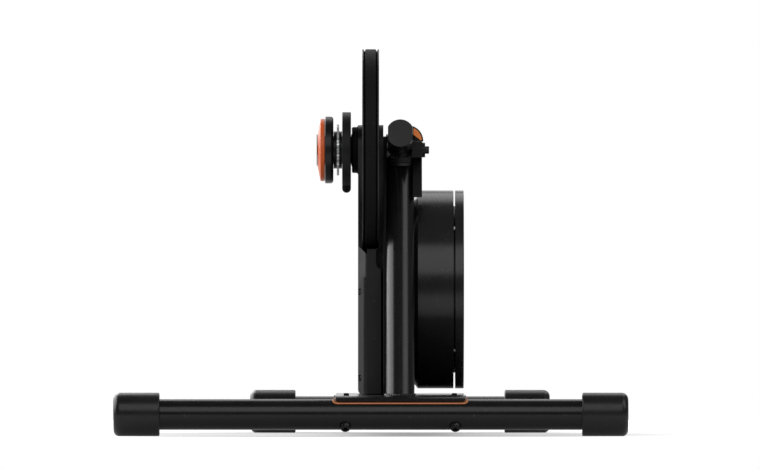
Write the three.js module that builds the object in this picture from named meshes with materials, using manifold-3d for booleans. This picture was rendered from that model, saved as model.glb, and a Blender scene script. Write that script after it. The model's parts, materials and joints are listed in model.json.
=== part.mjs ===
// A direct drive bike trainer, in millimetres. +X is the bike's left, +Y its rear and +Z up.
// The origin is on the floor, on the bike's centre plane and midway between the two cross legs.
import * as THREE from 'three';
import { mergeVertices } from 'three/addons/utils/BufferGeometryUtils.js';
import Module from 'manifold-3d';

const wasm = await Module();
wasm.setup();

// Clearances, and how finely round shapes are faceted
const seatGap = 0.3; // between a piece and the one that it sits on or in
const runGap = 0.6; // between a turning piece and a fixed one
const cutOverrun = 3; // how far a cut runs past the face that it opens
const weldTolerance = 0.0001; // corners nearer than this are one corner
const fineSteps = 40;
const mediumSteps = 24;
const smallSteps = 18;
const boltSteps = 8;
const arcSteps = 3;
const beltSteps = 40;

// Layout of the frame, the axle and the flywheel
const frameX = 36.4; // the frame's centre plane
const legSpan = 440; // between the centre lines of the two cross legs
const axleY = 20;
const axleZ = 353.7;
const dropoutWidth = 135; // between the faces that the bike's frame clamps on
const flywheelY = 60;
const flywheelZ = 180.1;

// Cross legs and their end caps
const legRadius = 19;
const legWall = 2.5;
const frontLegLength = 635; // over the end caps
const rearLegLength = 376; // over the end caps
const capRadius = 27;
const capLength = 57;
const capEndWall = 12;
const capCornerRadius = 8;
const capLipRadius = 2;
const capFloorDepth = 0.5; // how much is cut off for the flat that stands on the floor

// Base plate, wrapped over both legs, with its liners and leg bolts
const plateWidth = 160;
const plateThickness = 2.5;
const plateLipAngle = 49; // degrees above the leg's front where the wrapped edge ends
const linerThickness = 1;
const linerShow = 2.4; // of the liner, below the plate's lip
const linerSideShow = 2.8; // of the liner, past the plate's side
const linerBackAngle = 99;
const saddleWidth = 150;
const saddleLength = 42;
const saddleFromAngle = 108;
const saddleToAngle = 164;
const legBoltSpacing = 135.6;
const legBoltAngle = 48; // degrees below the leg's front
const legBoltRadius = 4;
const legBoltHeadRadius = 6.85;
const legBoltHeadHeight = 4;
const legBoltSocketRadius = 3;
const legBoltSocketDepth = 2.4;
const legBoltReach = 7; // past the leg, into the saddle

// Upright, frame plate and axle head
const uprightRadius = 17.6;
const uprightWall = 2.5;
const uprightFootY = -175;
const framePlateThickness = 3;
const framePlateFrontY = -150;
const framePlateRearY = 150;
const framePlateFrontShoulder = 14;
const framePlateRearShoulder = 110;
const framePlateTopRadius = 17;
const headRadius = 19.7;

// Handle and its bracket
const bracketWidth = 26.1;
const bracketShift = 1.6; // from the frame's centre plane
const bracketForward = 34; // from the axle to the handle's seat
const bracketWall = 6; // round the axle head
const bracketStubLength = 20;
const handleRadius = 17.3;
const handleFlat = 15.25; // from the handle's axis to its flats
const handleBore = 12.5;
const handleRise = 10; // degrees
const handleReach = 110; // from the axle forward to the face of the end cap
const handleEndZ = 374.3;
const handleCapThickness = 4;
const handleCapEdge = 1;
const handleCapSpigot = 8;

// Axle and its adapters
const axleRadius = 8.5;
const axleBore = 6.2;
const skewerBore = 3.3;
const adapterSpigotLength = 25;
const driveFlangeRadius = 19.8;
const driveFlangeThickness = 0.9;
const leftAdapterRadius = 9.15;
const leftNubRadius = 4.7;
const leftNubLength = 4.9;
const spacerRadius = 12;

// Round pulley cover
const coverRadius = 125.5;
const coverOuterX = -10.8;
const coverInnerX = 10.1;
const coverWall = 2.8;
const coverFlange = 1.5; // width of the thin flange at the rim
const coverGroove = 3; // depth of the groove inside the flange
const bandWall = 4.5;
const bandChamfer = 1.5;

// Belt casing
const casingOuterX = -16;
const casingInnerX = 14.9;
const casingSeamX = -4.7;
const casingWall = 3;
const casingArmX = -11.7; // inner face of the outer shell beside the round cover
const casingArmInnerX = 10.7; // inner face of the inner shell beside the round cover
const casingArmRadius = 31;
const casingFrontY = -70;
const casingFrontTopY = -35;
const casingFrontTopZ = 228;
const casingRearY = 155;
const casingRearShoulderZ = 205;
const casingFootRadius = 6;
const casingOuterChamfer = 7;
const casingInnerChamfer = 6;
const casingShaftHole = 14;

// Belt, pulleys and idler
const beltWidth = 10;
const beltThickness = 2.5;
const largePulleyRoom = 23; // from the pulley to the cover's rim band
const largePulleyRim = 8;
const largePulleyWeb = 5;
const largePulleyHubRadius = 22;
const largePulleyWindowRadius = 15;
const largePulleyWindows = 6;
const smallPulleyRadius = 17.5;
const pulleyFlange = 1.2;
const pulleyFlangeHeight = 2.2;
const pulleySideRoom = 0.6; // between the belt's edge and a flange
const beltSlotRoom = 3; // round the belt where it leaves the round cover
const idlerRadius = 13;
const idlerAlong = 45; // from the small pulley, along the belt's rear run
const idlerPinRadius = 4;
const tensionerThickness = 3.5;
const tensionerEndRadius = 9;
const tensionerBack = 18; // from the idler to the pivot, rearward
const tensionerDown = 35; // from the idler to the pivot, downward
const tensionerPivotRadius = 6;

// Pulley bearing, freehub and what rides on it
const hubBearingRadius = 15;
const hubBearingWidth = 12;
const hubInnerX = 6.9;
const hubOuterX = -15.7;
const freehubRadius = 17.2;
const freehubBore = 13.3;
const freehubFlangeRadius = 19.9;
const freehubOuterX = -62;
const freehubInnerX = -6.6;
const freehubBearingLength = 34;
const freehubBearingInset = 4;
const bearingCoverRadius = 28.6;
const bearingCoverOuterX = -23.7;
const bearingCoverFillet = 2;
const innerGuardInnerX = -24.9;
const innerGuardOuterX = -35.8;
const innerGuardRadius = 47.1;
const innerGuardLugReach = 53.3;
const innerGuardLugWidth = 18;
const innerGuardHoleRadius = 1.6;
const innerGuardHoleReach = 49;
const innerGuardEdge = 1;
const barrelRadius = 23.2;
const cogTeeth = 14;
const chainPitch = 12.7;
const chainRollerRadius = 3.9;
const cogTipRadius = 31.65;
const cogThickness = 2.8;
const cogX = -41;
const cogTabs = 3;
const cogTabWidth = 4;
const cogTabDepth = 1.8;
const outerGuardInnerX = -46.7;
const outerGuardOuterX = -57.1;
const outerGuardRadius = 41.6;
const outerGuardFillet = 3.5;
const dialRadius = 38.7;
const dialRimX = -62.4;

// Flywheel, its shaft, bearings and brake
const flywheelRadius = 123.5;
const rotorInnerX = 53.9;
const rotorOuterX = 102.8;
const rotorRimWall = 8;
const rotorWeb = 5;
const rotorChamferAlong = 5;
const rotorChamferIn = 5.4;
const rotorHubRadius = 20;
const rotorHubLength = 8;
const slitWidth = 2.1; // between the rotor and the outer disc
const slitDiscRadius = 104;
const outerDiscThickness = 10.7;
const outerDiscChamfer = 1;
const outerDiscRecessRadius = 30;
const outerDiscRecessDepth = 6;
const shaftRadius = 8.5;
const shaftInnerX = -8;
const shaftNutRadius = 14;
const shaftNutThickness = 5;
const housingFlangeRadius = 42;
const housingFlange = 6;
const housingRadius = 24;
const housingEndX = 92;
const shaftBearingRadius = 17.5;
const shaftBearingWidth = 10;
const shaftBearingInset = 2;
const statorInnerX = 72;
const statorOuterX = 92;
const statorPoleThickness = 10;
const statorCoreRadius = 64;
const statorPoleRadius = 113;
const statorSlots = 12;
const statorSlotWidth = 8;
const coilBore = 38;
const coilRadius = 60;
const coilLength = 12;
const coilSlotLap = 5; // how far the slots reach in over the coil's room

// Side pod on the axle head
const podOuterX = 63.5;
const podHalfWidth = 16;
const podBottomZ = 294.7;
const podFlywheelRoom = 4;
const podCrownX = 45.3;
const podCrownZ = 364.7;
const podCrownRadius = 19.9;
const podCrownOverlap = 1;
const inlayBorder = 1.3;
const inlayThickness = 3;
const inlayInnerX = 52.9;
const inlayCornerRise = 7.8; // of the crescent's inner corner, above the crown's centre
const inlayTipX = 61.8;
const inlayTipRise = 1;

// Electronics on the frame plate's left face
const boxLength = 58;
const boxHeight = 62;
const boxDepth = 29;
const boxWall = 2;
const boxRise = 6; // above the base plate
const boxRearInset = 4; // from the frame plate's rear edge
const boardThickness = 1.6;
const boardRoom = 3; // between the board's edge and the box's wall
const boardPostRadius = 3;
const boardPostHeight = 5;
const boardPostInset = 6;
const boardPartHeight = 9;
const inletRadius = 5.2;
const inletFlangeRadius = 7;
const inletFlange = 1.5;
const inletLength = 14;
const inletBore = 3;
const inletBoreDepth = 10;
const inletPinRadius = 1;
const lightRadius = 2.2;
const lightFlangeRadius = 3.2;
const lightFlange = 0.8;
const lightLength = 5;
const lightRise = 18; // above the inlet

// Places that follow from the sizes above
const legZ = capRadius - capFloorDepth;
const linerInner = legRadius + seatGap;
const linerOuter = linerInner + linerThickness;
const saddleInner = linerOuter + seatGap;
const plateTopZ = legZ + saddleInner + plateThickness;
const plateFloorZ = plateTopZ + seatGap; // where pieces stand on the base plate
const dropoutHalf = dropoutWidth / 2;
const uprightLean = Math.atan2(axleY - uprightFootY, axleZ - plateTopZ);
const headInnerX = frameX - uprightRadius;
const headOuterX = frameX + uprightRadius;
const framePlateOuterX = headInnerX - seatGap;
const framePlateInnerX = framePlateOuterX - framePlateThickness;
const handleFaceY = axleY - handleReach;
const handleSeatY = axleY - bracketForward;
const handleSeatZ = handleEndZ - (handleSeatY - handleFaceY) * Math.tan(radians(handleRise));
const handleLength = (handleSeatY - handleFaceY) / Math.cos(radians(handleRise));
const axleHole = axleRadius + seatGap;
const shaftHole = shaftRadius + seatGap;
const beltInset = seatGap;
const largePulleyRadius = coverRadius - bandWall - largePulleyRoom;
const largeBeltRadius = largePulleyRadius + beltInset;
const smallBeltRadius = smallPulleyRadius + beltInset;
const beltDrop = new THREE.Vector2(flywheelY - axleY, flywheelZ - axleZ);
const beltWrap = Math.acos((largeBeltRadius - smallBeltRadius) / beltDrop.length());
const beltHeading = Math.atan2(beltDrop.y, beltDrop.x);
const rearRunNormal = polar(1, beltHeading + beltWrap);
const rearRunUp = [-rearRunNormal[1], rearRunNormal[0]];
const idlerOut = smallBeltRadius + beltThickness + seatGap + idlerRadius;
const idlerY = flywheelY + rearRunNormal[0] * idlerOut + rearRunUp[0] * idlerAlong;
const idlerZ = flywheelZ + rearRunNormal[1] * idlerOut + rearRunUp[1] * idlerAlong;

// Materials
const paint = (color, roughness, metalness = 0) =>
  new THREE.MeshStandardMaterial({ color, roughness, metalness, flatShading: true });
const frameBlack = paint(0x1b1b1c, 0.45, 0.3);
const mouldedBlack = paint(0x161617, 0.55);
const rubberBlack = paint(0x1a1a1a, 0.85);
const brightOrange = paint(0xd9562a, 0.5);
const linerOrange = paint(0xc2602f, 0.7);
const darkCast = paint(0x202022, 0.4, 0.6);
const bareSteel = paint(0xa9abad, 0.3, 0.9);
const bareAluminium = paint(0xb9bbbd, 0.4, 0.8);
const boltBlack = paint(0x101010, 0.35, 0.6);
const copper = paint(0xa5602f, 0.45, 0.7);
const boardGreen = paint(0x1f5a35, 0.6);
const clearLens = paint(0xdfe6ea, 0.15);

function radians(degrees) {
  return degrees * Math.PI / 180;
}

// A point at this distance and angle from the origin of a plane
function polar(radius, angle) {
  return [radius * Math.cos(angle), radius * Math.sin(angle)];
}

// Points along an arc, its angles in degrees
function arc(centreX, centreY, radius, fromAngle, toAngle, steps = arcSteps) {
  const points = [];
  for (let step = 0; step <= steps; step += 1) {
    const angle = radians(fromAngle + (toAngle - fromAngle) * step / steps);
    const [x, y] = polar(radius, angle);
    points.push([centreX + x, centreY + y]);
  }
  return points;
}

function circle(centreX, centreY, radius, steps) {
  return arc(centreX, centreY, radius, 0, 360, steps).slice(0, steps);
}

// The closed body of a geometry, with doubled corners merged and empty triangles left out
function solid(geometry) {
  const bare = geometry.index ? geometry.toNonIndexed() : geometry.clone();
  bare.deleteAttribute('normal');
  bare.deleteAttribute('uv');
  const merged = mergeVertices(bare, weldTolerance);
  const vertProperties = merged.attributes.position.array;
  const outward = [];
  const inward = [];
  for (let at = 0; at < merged.index.count; at += 3) {
    const [a, b, c] = [0, 1, 2].map((corner) => merged.index.getX(at + corner));
    if (a !== b && b !== c && c !== a) {
      outward.push(a, b, c);
      inward.push(a, c, b);
    }
  }
  const bodyOf = (corners) => {
    const triVerts = new Uint32Array(corners);
    return new wasm.Manifold(new wasm.Mesh({ numProp: 3, vertProperties, triVerts }));
  };
  const body = bodyOf(outward);
  return body.volume() < 0 ? bodyOf(inward) : body;
}

function geometryOf(body) {
  const { vertProperties, triVerts } = body.getMesh();
  const geometry = new THREE.BufferGeometry();
  geometry.setAttribute('position', new THREE.BufferAttribute(new Float32Array(vertProperties), 3));
  geometry.setIndex(new THREE.BufferAttribute(new Uint32Array(triVerts), 1));
  return geometry;
}

function cut(geometry, ...tools) {
  return geometryOf(tools.reduce((left, tool) => left.subtract(solid(tool)), solid(geometry)));
}

function join(geometry, ...others) {
  return geometryOf(others.reduce((sum, other) => sum.add(solid(other)), solid(geometry)));
}

function keepInside(geometry, other) {
  return geometryOf(solid(geometry).intersect(solid(other)));
}

function flatShape(outline, holes = []) {
  const shape = new THREE.Shape(outline.map(([x, y]) => new THREE.Vector2(x, y)));
  shape.holes = holes.map((hole) => new THREE.Path(hole.map(([x, y]) => new THREE.Vector2(x, y))));
  return shape;
}

function prism(outline, depth, holes) {
  return new THREE.ExtrudeGeometry(flatShape(outline, holes), { depth, bevelEnabled: false });
}

// An outline of [y, z] points drawn out along X
function prismAlongX(outline, fromX, toX, holes) {
  const turn = new THREE.Matrix4().set(0, 0, 1, fromX, 1, 0, 0, 0, 0, 1, 0, 0, 0, 0, 0, 1);
  return prism(outline, toX - fromX, holes).applyMatrix4(turn);
}

// An outline of [x, z] points drawn out along Y
function prismAlongY(outline, fromY, toY, holes) {
  const turn = new THREE.Matrix4().set(1, 0, 0, 0, 0, 0, -1, toY, 0, 1, 0, 0, 0, 0, 0, 1);
  return prism(outline, toY - fromY, holes).applyMatrix4(turn);
}

function box(fromX, toX, fromY, toY, fromZ, toZ) {
  const block = new THREE.BoxGeometry(toX - fromX, toY - fromY, toZ - fromZ);
  return block.translate((fromX + toX) / 2, (fromY + toY) / 2, (fromZ + toZ) / 2);
}

// A closed outline of [along X, radius] points turned about the X axis
function turned(outline, steps = mediumSteps) {
  const closed = [...outline, outline[0]].map(([along, radius]) => new THREE.Vector2(radius, along));
  return geometryOf(solid(new THREE.LatheGeometry(closed, steps).rotateZ(-Math.PI / 2)));
}

function rod(fromX, toX, radius, steps) {
  return turned([[fromX, 0], [fromX, radius], [toX, radius], [toX, 0]], steps);
}

function ring(fromX, toX, bore, radius, steps) {
  return turned([[fromX, bore], [fromX, radius], [toX, radius], [toX, bore]], steps);
}

// Where the line from an outside point touches a circle, on the side that `turn` (1 or -1) picks
function tangentPoint(fromX, fromY, centreX, centreY, radius, turn) {
  const back = new THREE.Vector2(fromX - centreX, fromY - centreY);
  const half = Math.acos(radius / back.length());
  const [x, y] = polar(radius, Math.atan2(back.y, back.x) + turn * half);
  return [centreX + x, centreY + y];
}

// Points of a circle's arc that runs clockwise from one of its points to another
function arcBetween(centreX, centreY, from, to, steps) {
  const fromAngle = Math.atan2(from[1] - centreY, from[0] - centreX);
  let toAngle = Math.atan2(to[1] - centreY, to[0] - centreX);
  if (toAngle > fromAngle) {
    toAngle -= 2 * Math.PI;
  }
  const radius = Math.hypot(from[0] - centreX, from[1] - centreY);
  const degrees = (angle) => angle * 180 / Math.PI;
  return arc(centreX, centreY, radius, degrees(fromAngle), degrees(toAngle), steps);
}

function piece(parent, name, geometry, material) {
  geometry.computeVertexNormals();
  const mesh = new THREE.Mesh(geometry, material);
  mesh.name = name;
  parent.add(mesh);
  return mesh;
}

function groupAt(parent, x, y, z) {
  const group = new THREE.Group();
  group.position.set(x, y, z);
  parent.add(group);
  return group;
}

// Turns a piece made along X so that it points forward and down by this angle
function pointForward(geometry, downAngle) {
  return geometry.rotateZ(-Math.PI / 2).rotateX(radians(downAngle));
}

// A leg bolt runs from the leg's lower front through its middle into the saddle.
function alongLegBolt(geometry, offsetX) {
  return pointForward(geometry, legBoltAngle).translate(offsetX, 0, legZ);
}

function legBoltPlaces() {
  return [-legBoltSpacing / 2, legBoltSpacing / 2];
}

function legTube(length, offsetX) {
  const half = length / 2 - capEndWall - seatGap;
  const tube = ring(-half, half, legRadius - legWall, legRadius).translate(offsetX, 0, legZ);
  const reach = legRadius + cutOverrun;
  const holes = legBoltPlaces().map((place) =>
    alongLegBolt(rod(-reach, reach, legBoltRadius + seatGap, boltSteps), place));
  return cut(tube, ...holes);
}

function endCap() {
  const outline = [
    [0, legRadius + seatGap],
    [0, capRadius - capLipRadius],
    [capLipRadius, capRadius],
    ...arc(capLength - capCornerRadius, capRadius - capCornerRadius, capCornerRadius, 90, 0),
    [capLength, 0],
    [capLength - capEndWall, 0],
    [capLength - capEndWall, legRadius + seatGap],
  ];
  const cup = turned(outline).translate(0, 0, legZ);
  const under = box(-cutOverrun, capLength + cutOverrun, -capRadius, capRadius, -capRadius, 0);
  return cut(cup, under);
}

function legLiner() {
  const frontAngle = plateLipAngle - linerShow / linerOuter * 180 / Math.PI;
  const strip = [
    ...arc(0, legZ, linerOuter, 180 - frontAngle, 180 - linerBackAngle, smallSteps / 2),
    ...arc(0, legZ, linerInner, 180 - linerBackAngle, 180 - frontAngle, smallSteps / 2),
  ];
  const half = plateWidth / 2 + linerSideShow;
  return prismAlongX(strip, -half, half);
}

function legBolt() {
  const headFrom = legRadius + seatGap;
  const headTo = headFrom + legBoltHeadHeight;
  const shank = [
    [-legRadius - legBoltReach, 0],
    [-legRadius - legBoltReach, legBoltRadius],
    [headFrom, legBoltRadius],
    [headFrom, legBoltHeadRadius],
    [headFrom + legBoltHeadHeight / 2, legBoltHeadRadius],
    [headTo, legBoltHeadRadius - legBoltHeadHeight / 2],
    [headTo, 0],
  ];
  const socket = rod(headTo - legBoltSocketDepth, headTo + cutOverrun, legBoltSocketRadius, 6);
  return cut(turned(shank, boltSteps), socket);
}

// One cross leg with its caps, liner and bolts, built with the trainer's outer side towards -Y
function legStation(name, y, turn, length, offsetX) {
  const station = groupAt(trainer, frameX, y, 0);
  station.rotation.z = turn;
  piece(station, `${name}_leg_tube`, legTube(length, offsetX), frameBlack);
  piece(station, `${name}_leg_liner`, legLiner(), linerOrange);
  for (const side of [-1, 1]) {
    const hand = side * Math.cos(turn) > 0 ? 'left' : 'right';
    const cap = piece(station, `${name}_leg_cap_${hand}`, endCap(), rubberBlack);
    cap.position.x = offsetX + side * (length / 2 - capLength);
    cap.rotation.z = side > 0 ? 0 : Math.PI;
    const offset = side * legBoltSpacing / 2;
    piece(station, `${name}_leg_bolt_${hand}`, alongLegBolt(legBolt(), offset), boltBlack);
  }
}

// The half of the base plate's section over one leg: the wrapped sheet and the saddle block
function wrappedSheet(radius) {
  return arc(0, legZ, radius, 180 - plateLipAngle, 90, smallSteps / 3);
}

function saddleBlock() {
  const seat = arc(0, legZ, legRadius + seatGap, 180 - saddleFromAngle, 180 - saddleToAngle, arcSteps);
  const lowest = seat[seat.length - 1];
  const topZ = legZ + saddleInner + plateThickness / 2;
  const outline = [...seat, [saddleLength, lowest[1]], [saddleLength, topZ], [seat[0][0], topZ]];
  return prismAlongX(outline, -saddleWidth / 2, saddleWidth / 2);
}

function saddleBoltHoles() {
  const reach = legRadius + legBoltReach + seatGap;
  return legBoltPlaces().map((place) =>
    alongLegBolt(rod(-reach, 0, legBoltRadius + seatGap, boltSteps), place));
}

function basePlate() {
  const halfSpan = legSpan / 2;
  const toFront = ([y, z]) => [y - halfSpan, z];
  const toRear = ([y, z]) => [halfSpan - y, z];
  const outer = wrappedSheet(saddleInner + plateThickness);
  const inner = wrappedSheet(saddleInner);
  const section = [
    ...outer.map(toFront),
    ...outer.map(toRear).reverse(),
    ...inner.map(toRear),
    ...inner.map(toFront).reverse(),
  ];
  const half = plateWidth / 2;
  const sheet = prismAlongX(section, -half, half);
  const atFront = (geometry) => geometry.translate(0, -halfSpan, 0);
  const atRear = (geometry) => geometry.rotateZ(Math.PI).translate(0, halfSpan, 0);
  const whole = join(sheet, atFront(saddleBlock()), atRear(saddleBlock()));
  return cut(whole, ...saddleBoltHoles().map(atFront), ...saddleBoltHoles().map(atRear));
}

// A rod or tube made along X, set on the upright's leaning axis with x = 0 at its foot
function alongUpright(geometry) {
  return geometry.rotateY(-Math.PI / 2).rotateX(-uprightLean).translate(frameX, uprightFootY, plateTopZ);
}

function uprightTube() {
  const length = Math.hypot(axleY - uprightFootY, axleZ - plateTopZ);
  const reach = length + 2 * uprightRadius;
  const bore = uprightRadius - uprightWall;
  const tube = alongUpright(ring(-uprightRadius, reach, bore, uprightRadius));
  const side = uprightRadius + cutOverrun;
  const behind = axleY + reach;
  const topZ = axleZ - headRadius - seatGap;
  const slab = box(frameX - side, frameX + side, uprightFootY - reach, behind, plateFloorZ, topZ);
  return keepInside(tube, slab);
}

function framePlate() {
  const frontZ = plateFloorZ + framePlateFrontShoulder;
  const rearZ = plateFloorZ + framePlateRearShoulder;
  const rise = [axleY, axleZ, framePlateTopRadius];
  const frontTouch = tangentPoint(framePlateFrontY, frontZ, ...rise, -1);
  const rearTouch = tangentPoint(framePlateRearY, rearZ, ...rise, 1);
  const outline = [
    [framePlateRearY, plateFloorZ],
    [framePlateFrontY, plateFloorZ],
    [framePlateFrontY, frontZ],
    ...arcBetween(axleY, axleZ, frontTouch, rearTouch, smallSteps / 2),
    [framePlateRearY, rearZ],
  ];
  const holes = [
    circle(axleY, axleZ, axleHole, smallSteps),
    circle(flywheelY, flywheelZ, housingRadius + seatGap, mediumSteps),
  ];
  return prismAlongX(outline, framePlateInnerX, framePlateOuterX, holes);
}

// A piece made along X, set on the handle's rising axis with x = 0 at its seat on the bracket
function alongHandle(geometry) {
  return pointForward(geometry, -handleRise).translate(frameX, handleSeatY, handleSeatZ);
}

function withFlats(geometry) {
  const reach = handleLength + handleRadius;
  const slab = box(-reach, reach, -handleFlat, handleFlat, -reach, reach);
  return keepInside(geometry, slab);
}

function handleBracket() {
  const rise = radians(handleRise);
  const [across, up] = [handleRadius * Math.sin(rise), handleRadius * Math.cos(rise)];
  const bottomZ = axleZ - headRadius;
  const around = headRadius + seatGap + bracketWall;
  const postRadius = bracketWidth / 2;
  const postY = handleSeatY - across + postRadius;
  const postTopZ = handleSeatZ - up;
  const outline = [
    [postY, bottomZ],
    [postY, postTopZ],
    [handleSeatY - across, postTopZ],
    [handleSeatY + across, handleSeatZ + up],
    ...arc(axleY, axleZ, around, 100, -45, smallSteps / 3),
  ];
  const centreX = frameX + bracketShift;
  const lug = prismAlongX(outline, centreX - bracketWidth / 2, centreX + bracketWidth / 2);
  const post = prism(circle(centreX, postY, postRadius, smallSteps), postTopZ - bottomZ);
  const stub = alongHandle(rod(-cutOverrun, bracketStubLength, handleBore - seatGap, smallSteps));
  const side = bracketWidth + cutOverrun;
  const bore = rod(centreX - side, centreX + side, headRadius + seatGap).translate(0, axleY, axleZ);
  const below = box(centreX - side, centreX + side, handleSeatY - side, axleY + around + side,
    bottomZ - around - side, bottomZ);
  return cut(join(lug, post.translate(0, 0, bottomZ), stub), bore, below);
}

function handleTube() {
  const to = handleLength - handleCapThickness - seatGap;
  return alongHandle(withFlats(ring(seatGap, to, handleBore, handleRadius)));
}

function handleCap() {
  const from = handleLength - handleCapThickness;
  const outline = [
    [from - handleCapSpigot, 0],
    [from - handleCapSpigot, handleBore - seatGap],
    [from, handleBore - seatGap],
    [from, handleRadius],
    [handleLength - handleCapEdge, handleRadius],
    [handleLength, handleRadius - handleCapEdge],
    [handleLength, 0],
  ];
  return alongHandle(withFlats(turned(outline)));
}

// The pod hugs the left side of the upright and the axle head and is crowned by a round shoulder.
function podLimits() {
  const innerX = frameX + handleFlat + seatGap;
  const drift = (z) => axleY + (z - axleZ) * Math.tan(uprightLean);
  const halfY = podHalfWidth / Math.cos(uprightLean);
  return { innerX, drift, halfY, frontY: drift(podCrownZ) - halfY, rearY: drift(podCrownZ) + halfY };
}

function inlayOutline(margin) {
  const radius = podCrownRadius - inlayBorder + margin;
  const fromX = inlayInnerX - margin;
  const rise = podCrownZ + inlayTipRise - margin;
  const steepest = Math.acos((fromX - podCrownX) / radius) * 180 / Math.PI;
  const lowest = Math.asin((rise - podCrownZ) / radius) * 180 / Math.PI;
  return [
    [fromX, podCrownZ + inlayCornerRise - margin],
    [inlayTipX - margin, rise],
    ...arc(podCrownX, podCrownZ, radius, lowest, steepest, 2 * arcSteps),
  ];
}

function podInlay() {
  const { frontY } = podLimits();
  return prismAlongY(inlayOutline(0), frontY, frontY + inlayThickness);
}

function headPod() {
  const { innerX, drift, halfY, frontY, rearY } = podLimits();
  const outline = [
    [drift(podBottomZ) - halfY, podBottomZ],
    [drift(podBottomZ) + halfY, podBottomZ],
    [rearY, podCrownZ],
    [frontY, podCrownZ],
  ];
  const strip = prismAlongX(outline, innerX, podOuterX);
  const crown = keepInside(
    prismAlongY(circle(podCrownX, podCrownZ, podCrownRadius, mediumSteps), frontY, rearY),
    box(innerX, podCrownX + 2 * podCrownRadius, frontY - cutOverrun, rearY + cutOverrun,
      podCrownZ - podCrownOverlap, podCrownZ + 2 * podCrownRadius),
  );
  const head = rod(headInnerX, headOuterX + seatGap, headRadius + seatGap);
  const adapter = rod(headInnerX, podOuterX + cutOverrun, leftAdapterRadius + seatGap, smallSteps);
  const reach = leftAdapterRadius + seatGap;
  const notch = box(headInnerX, podOuterX + cutOverrun, drift(podBottomZ) - halfY, axleY,
    axleZ - reach, axleZ + reach);
  const upright = rod(0, axleZ, uprightRadius + seatGap);
  const wheel = rod(headInnerX, podOuterX + cutOverrun, flywheelRadius + podFlywheelRoom, fineSteps);
  const pocket = prismAlongY(inlayOutline(seatGap), frontY - cutOverrun,
    frontY + inlayThickness + seatGap);
  return cut(
    join(strip, crown),
    head.translate(0, axleY, axleZ),
    adapter.translate(0, axleY, axleZ),
    notch,
    alongUpright(upright),
    wheel.translate(0, flywheelY, flywheelZ),
    pocket,
  );
}

// The axle and what sits round it; x is measured from the bike's centre plane.
function mainAxle() {
  const from = -dropoutHalf + driveFlangeThickness + seatGap;
  return ring(from, headOuterX, axleBore, axleRadius);
}

function driveAdapter() {
  const seat = -dropoutHalf + driveFlangeThickness;
  return turned([
    [-dropoutHalf, skewerBore],
    [-dropoutHalf, driveFlangeRadius],
    [seat, driveFlangeRadius],
    [seat, axleBore - seatGap],
    [seat + adapterSpigotLength, axleBore - seatGap],
    [seat + adapterSpigotLength, skewerBore],
  ]);
}

function leftAdapter() {
  const seat = headOuterX + seatGap;
  return turned([
    [seat - adapterSpigotLength, skewerBore],
    [seat - adapterSpigotLength, axleBore - seatGap],
    [seat, axleBore - seatGap],
    [seat, leftAdapterRadius],
    [dropoutHalf, leftAdapterRadius],
    [dropoutHalf, leftNubRadius],
    [dropoutHalf + leftNubLength, leftNubRadius],
    [dropoutHalf + leftNubLength, skewerBore],
  ], smallSteps);
}

function coverDisc(outerX, innerX, bore) {
  const side = Math.sign(innerX - outerX);
  return turned([
    [outerX, bore],
    [outerX, coverRadius],
    [outerX + side * coverFlange, coverRadius],
    [innerX, coverRadius - coverGroove],
    [innerX, bore],
  ], fineSteps);
}

// The outline round a belt that runs on both pulleys, moved out by an offset
function beltLoop(offset) {
  const degrees = (angle) => angle * 180 / Math.PI;
  const [low, high] = [degrees(beltHeading - beltWrap), degrees(beltHeading + beltWrap)];
  return [
    ...arc(axleY, axleZ, largeBeltRadius + offset, high, low + 360, beltSteps),
    ...arc(flywheelY, flywheelZ, smallBeltRadius + offset, low, high, smallSteps / 2),
  ];
}

function driveBelt() {
  return prismAlongX(beltLoop(beltThickness), -beltWidth / 2, beltWidth / 2, [beltLoop(0)]);
}

function beltTunnel() {
  const half = beltWidth / 2 + pulleySideRoom;
  return prismAlongX(beltLoop(beltThickness + beltSlotRoom), -half, half, [beltLoop(-beltSlotRoom)]);
}

function rimBand() {
  const from = coverOuterX + coverWall + seatGap;
  const to = coverInnerX - coverWall - seatGap;
  const low = coverRadius - coverGroove;
  const band = turned([
    [from, coverRadius - bandWall],
    [from, low],
    [from + bandChamfer, coverRadius],
    [to - bandChamfer, coverRadius],
    [to, low],
    [to, coverRadius - bandWall],
  ], fineSteps);
  return cut(band.translate(0, axleY, axleZ), beltTunnel()).translate(0, -axleY, -axleZ);
}

// The casing's side view, drawn in by an inset
function casingOutline(inset) {
  const radius = casingArmRadius - inset;
  const frontTopY = casingFrontTopY + inset;
  const rearY = casingRearY - inset;
  const frontTouch = tangentPoint(frontTopY, casingFrontTopZ, axleY, axleZ, radius, -1);
  const rearTouch = tangentPoint(rearY, casingRearShoulderZ, axleY, axleZ, radius, 1);
  return [
    [rearY, plateFloorZ + inset],
    [casingFrontY + inset, plateFloorZ + inset],
    [frontTopY, casingFrontTopZ],
    ...arcBetween(axleY, axleZ, frontTouch, rearTouch, smallSteps / 2),
    [rearY, casingRearShoulderZ],
  ];
}

// Room for the round cover between the casing's two arms
function coverRoom(fromX, toX) {
  return rod(fromX, toX, coverRadius + runGap, fineSteps).translate(0, axleY, axleZ);
}

// The slanting cut that opens the casing's front under the round cover
function frontBevel(armX, seamX, chamfer) {
  const top = axleZ + casingArmRadius;
  const outward = Math.sign(armX - seamX);
  const outline = [
    [armX, top],
    [armX, casingFrontTopZ + Math.abs(armX - seamX) - chamfer],
    [seamX + outward * (Math.abs(armX - seamX) - chamfer), casingFrontTopZ],
    [seamX - outward * cutOverrun, casingFrontTopZ],
    [seamX - outward * cutOverrun, top],
  ];
  return prismAlongY(outline, casingFrontY - cutOverrun, axleY);
}

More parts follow.
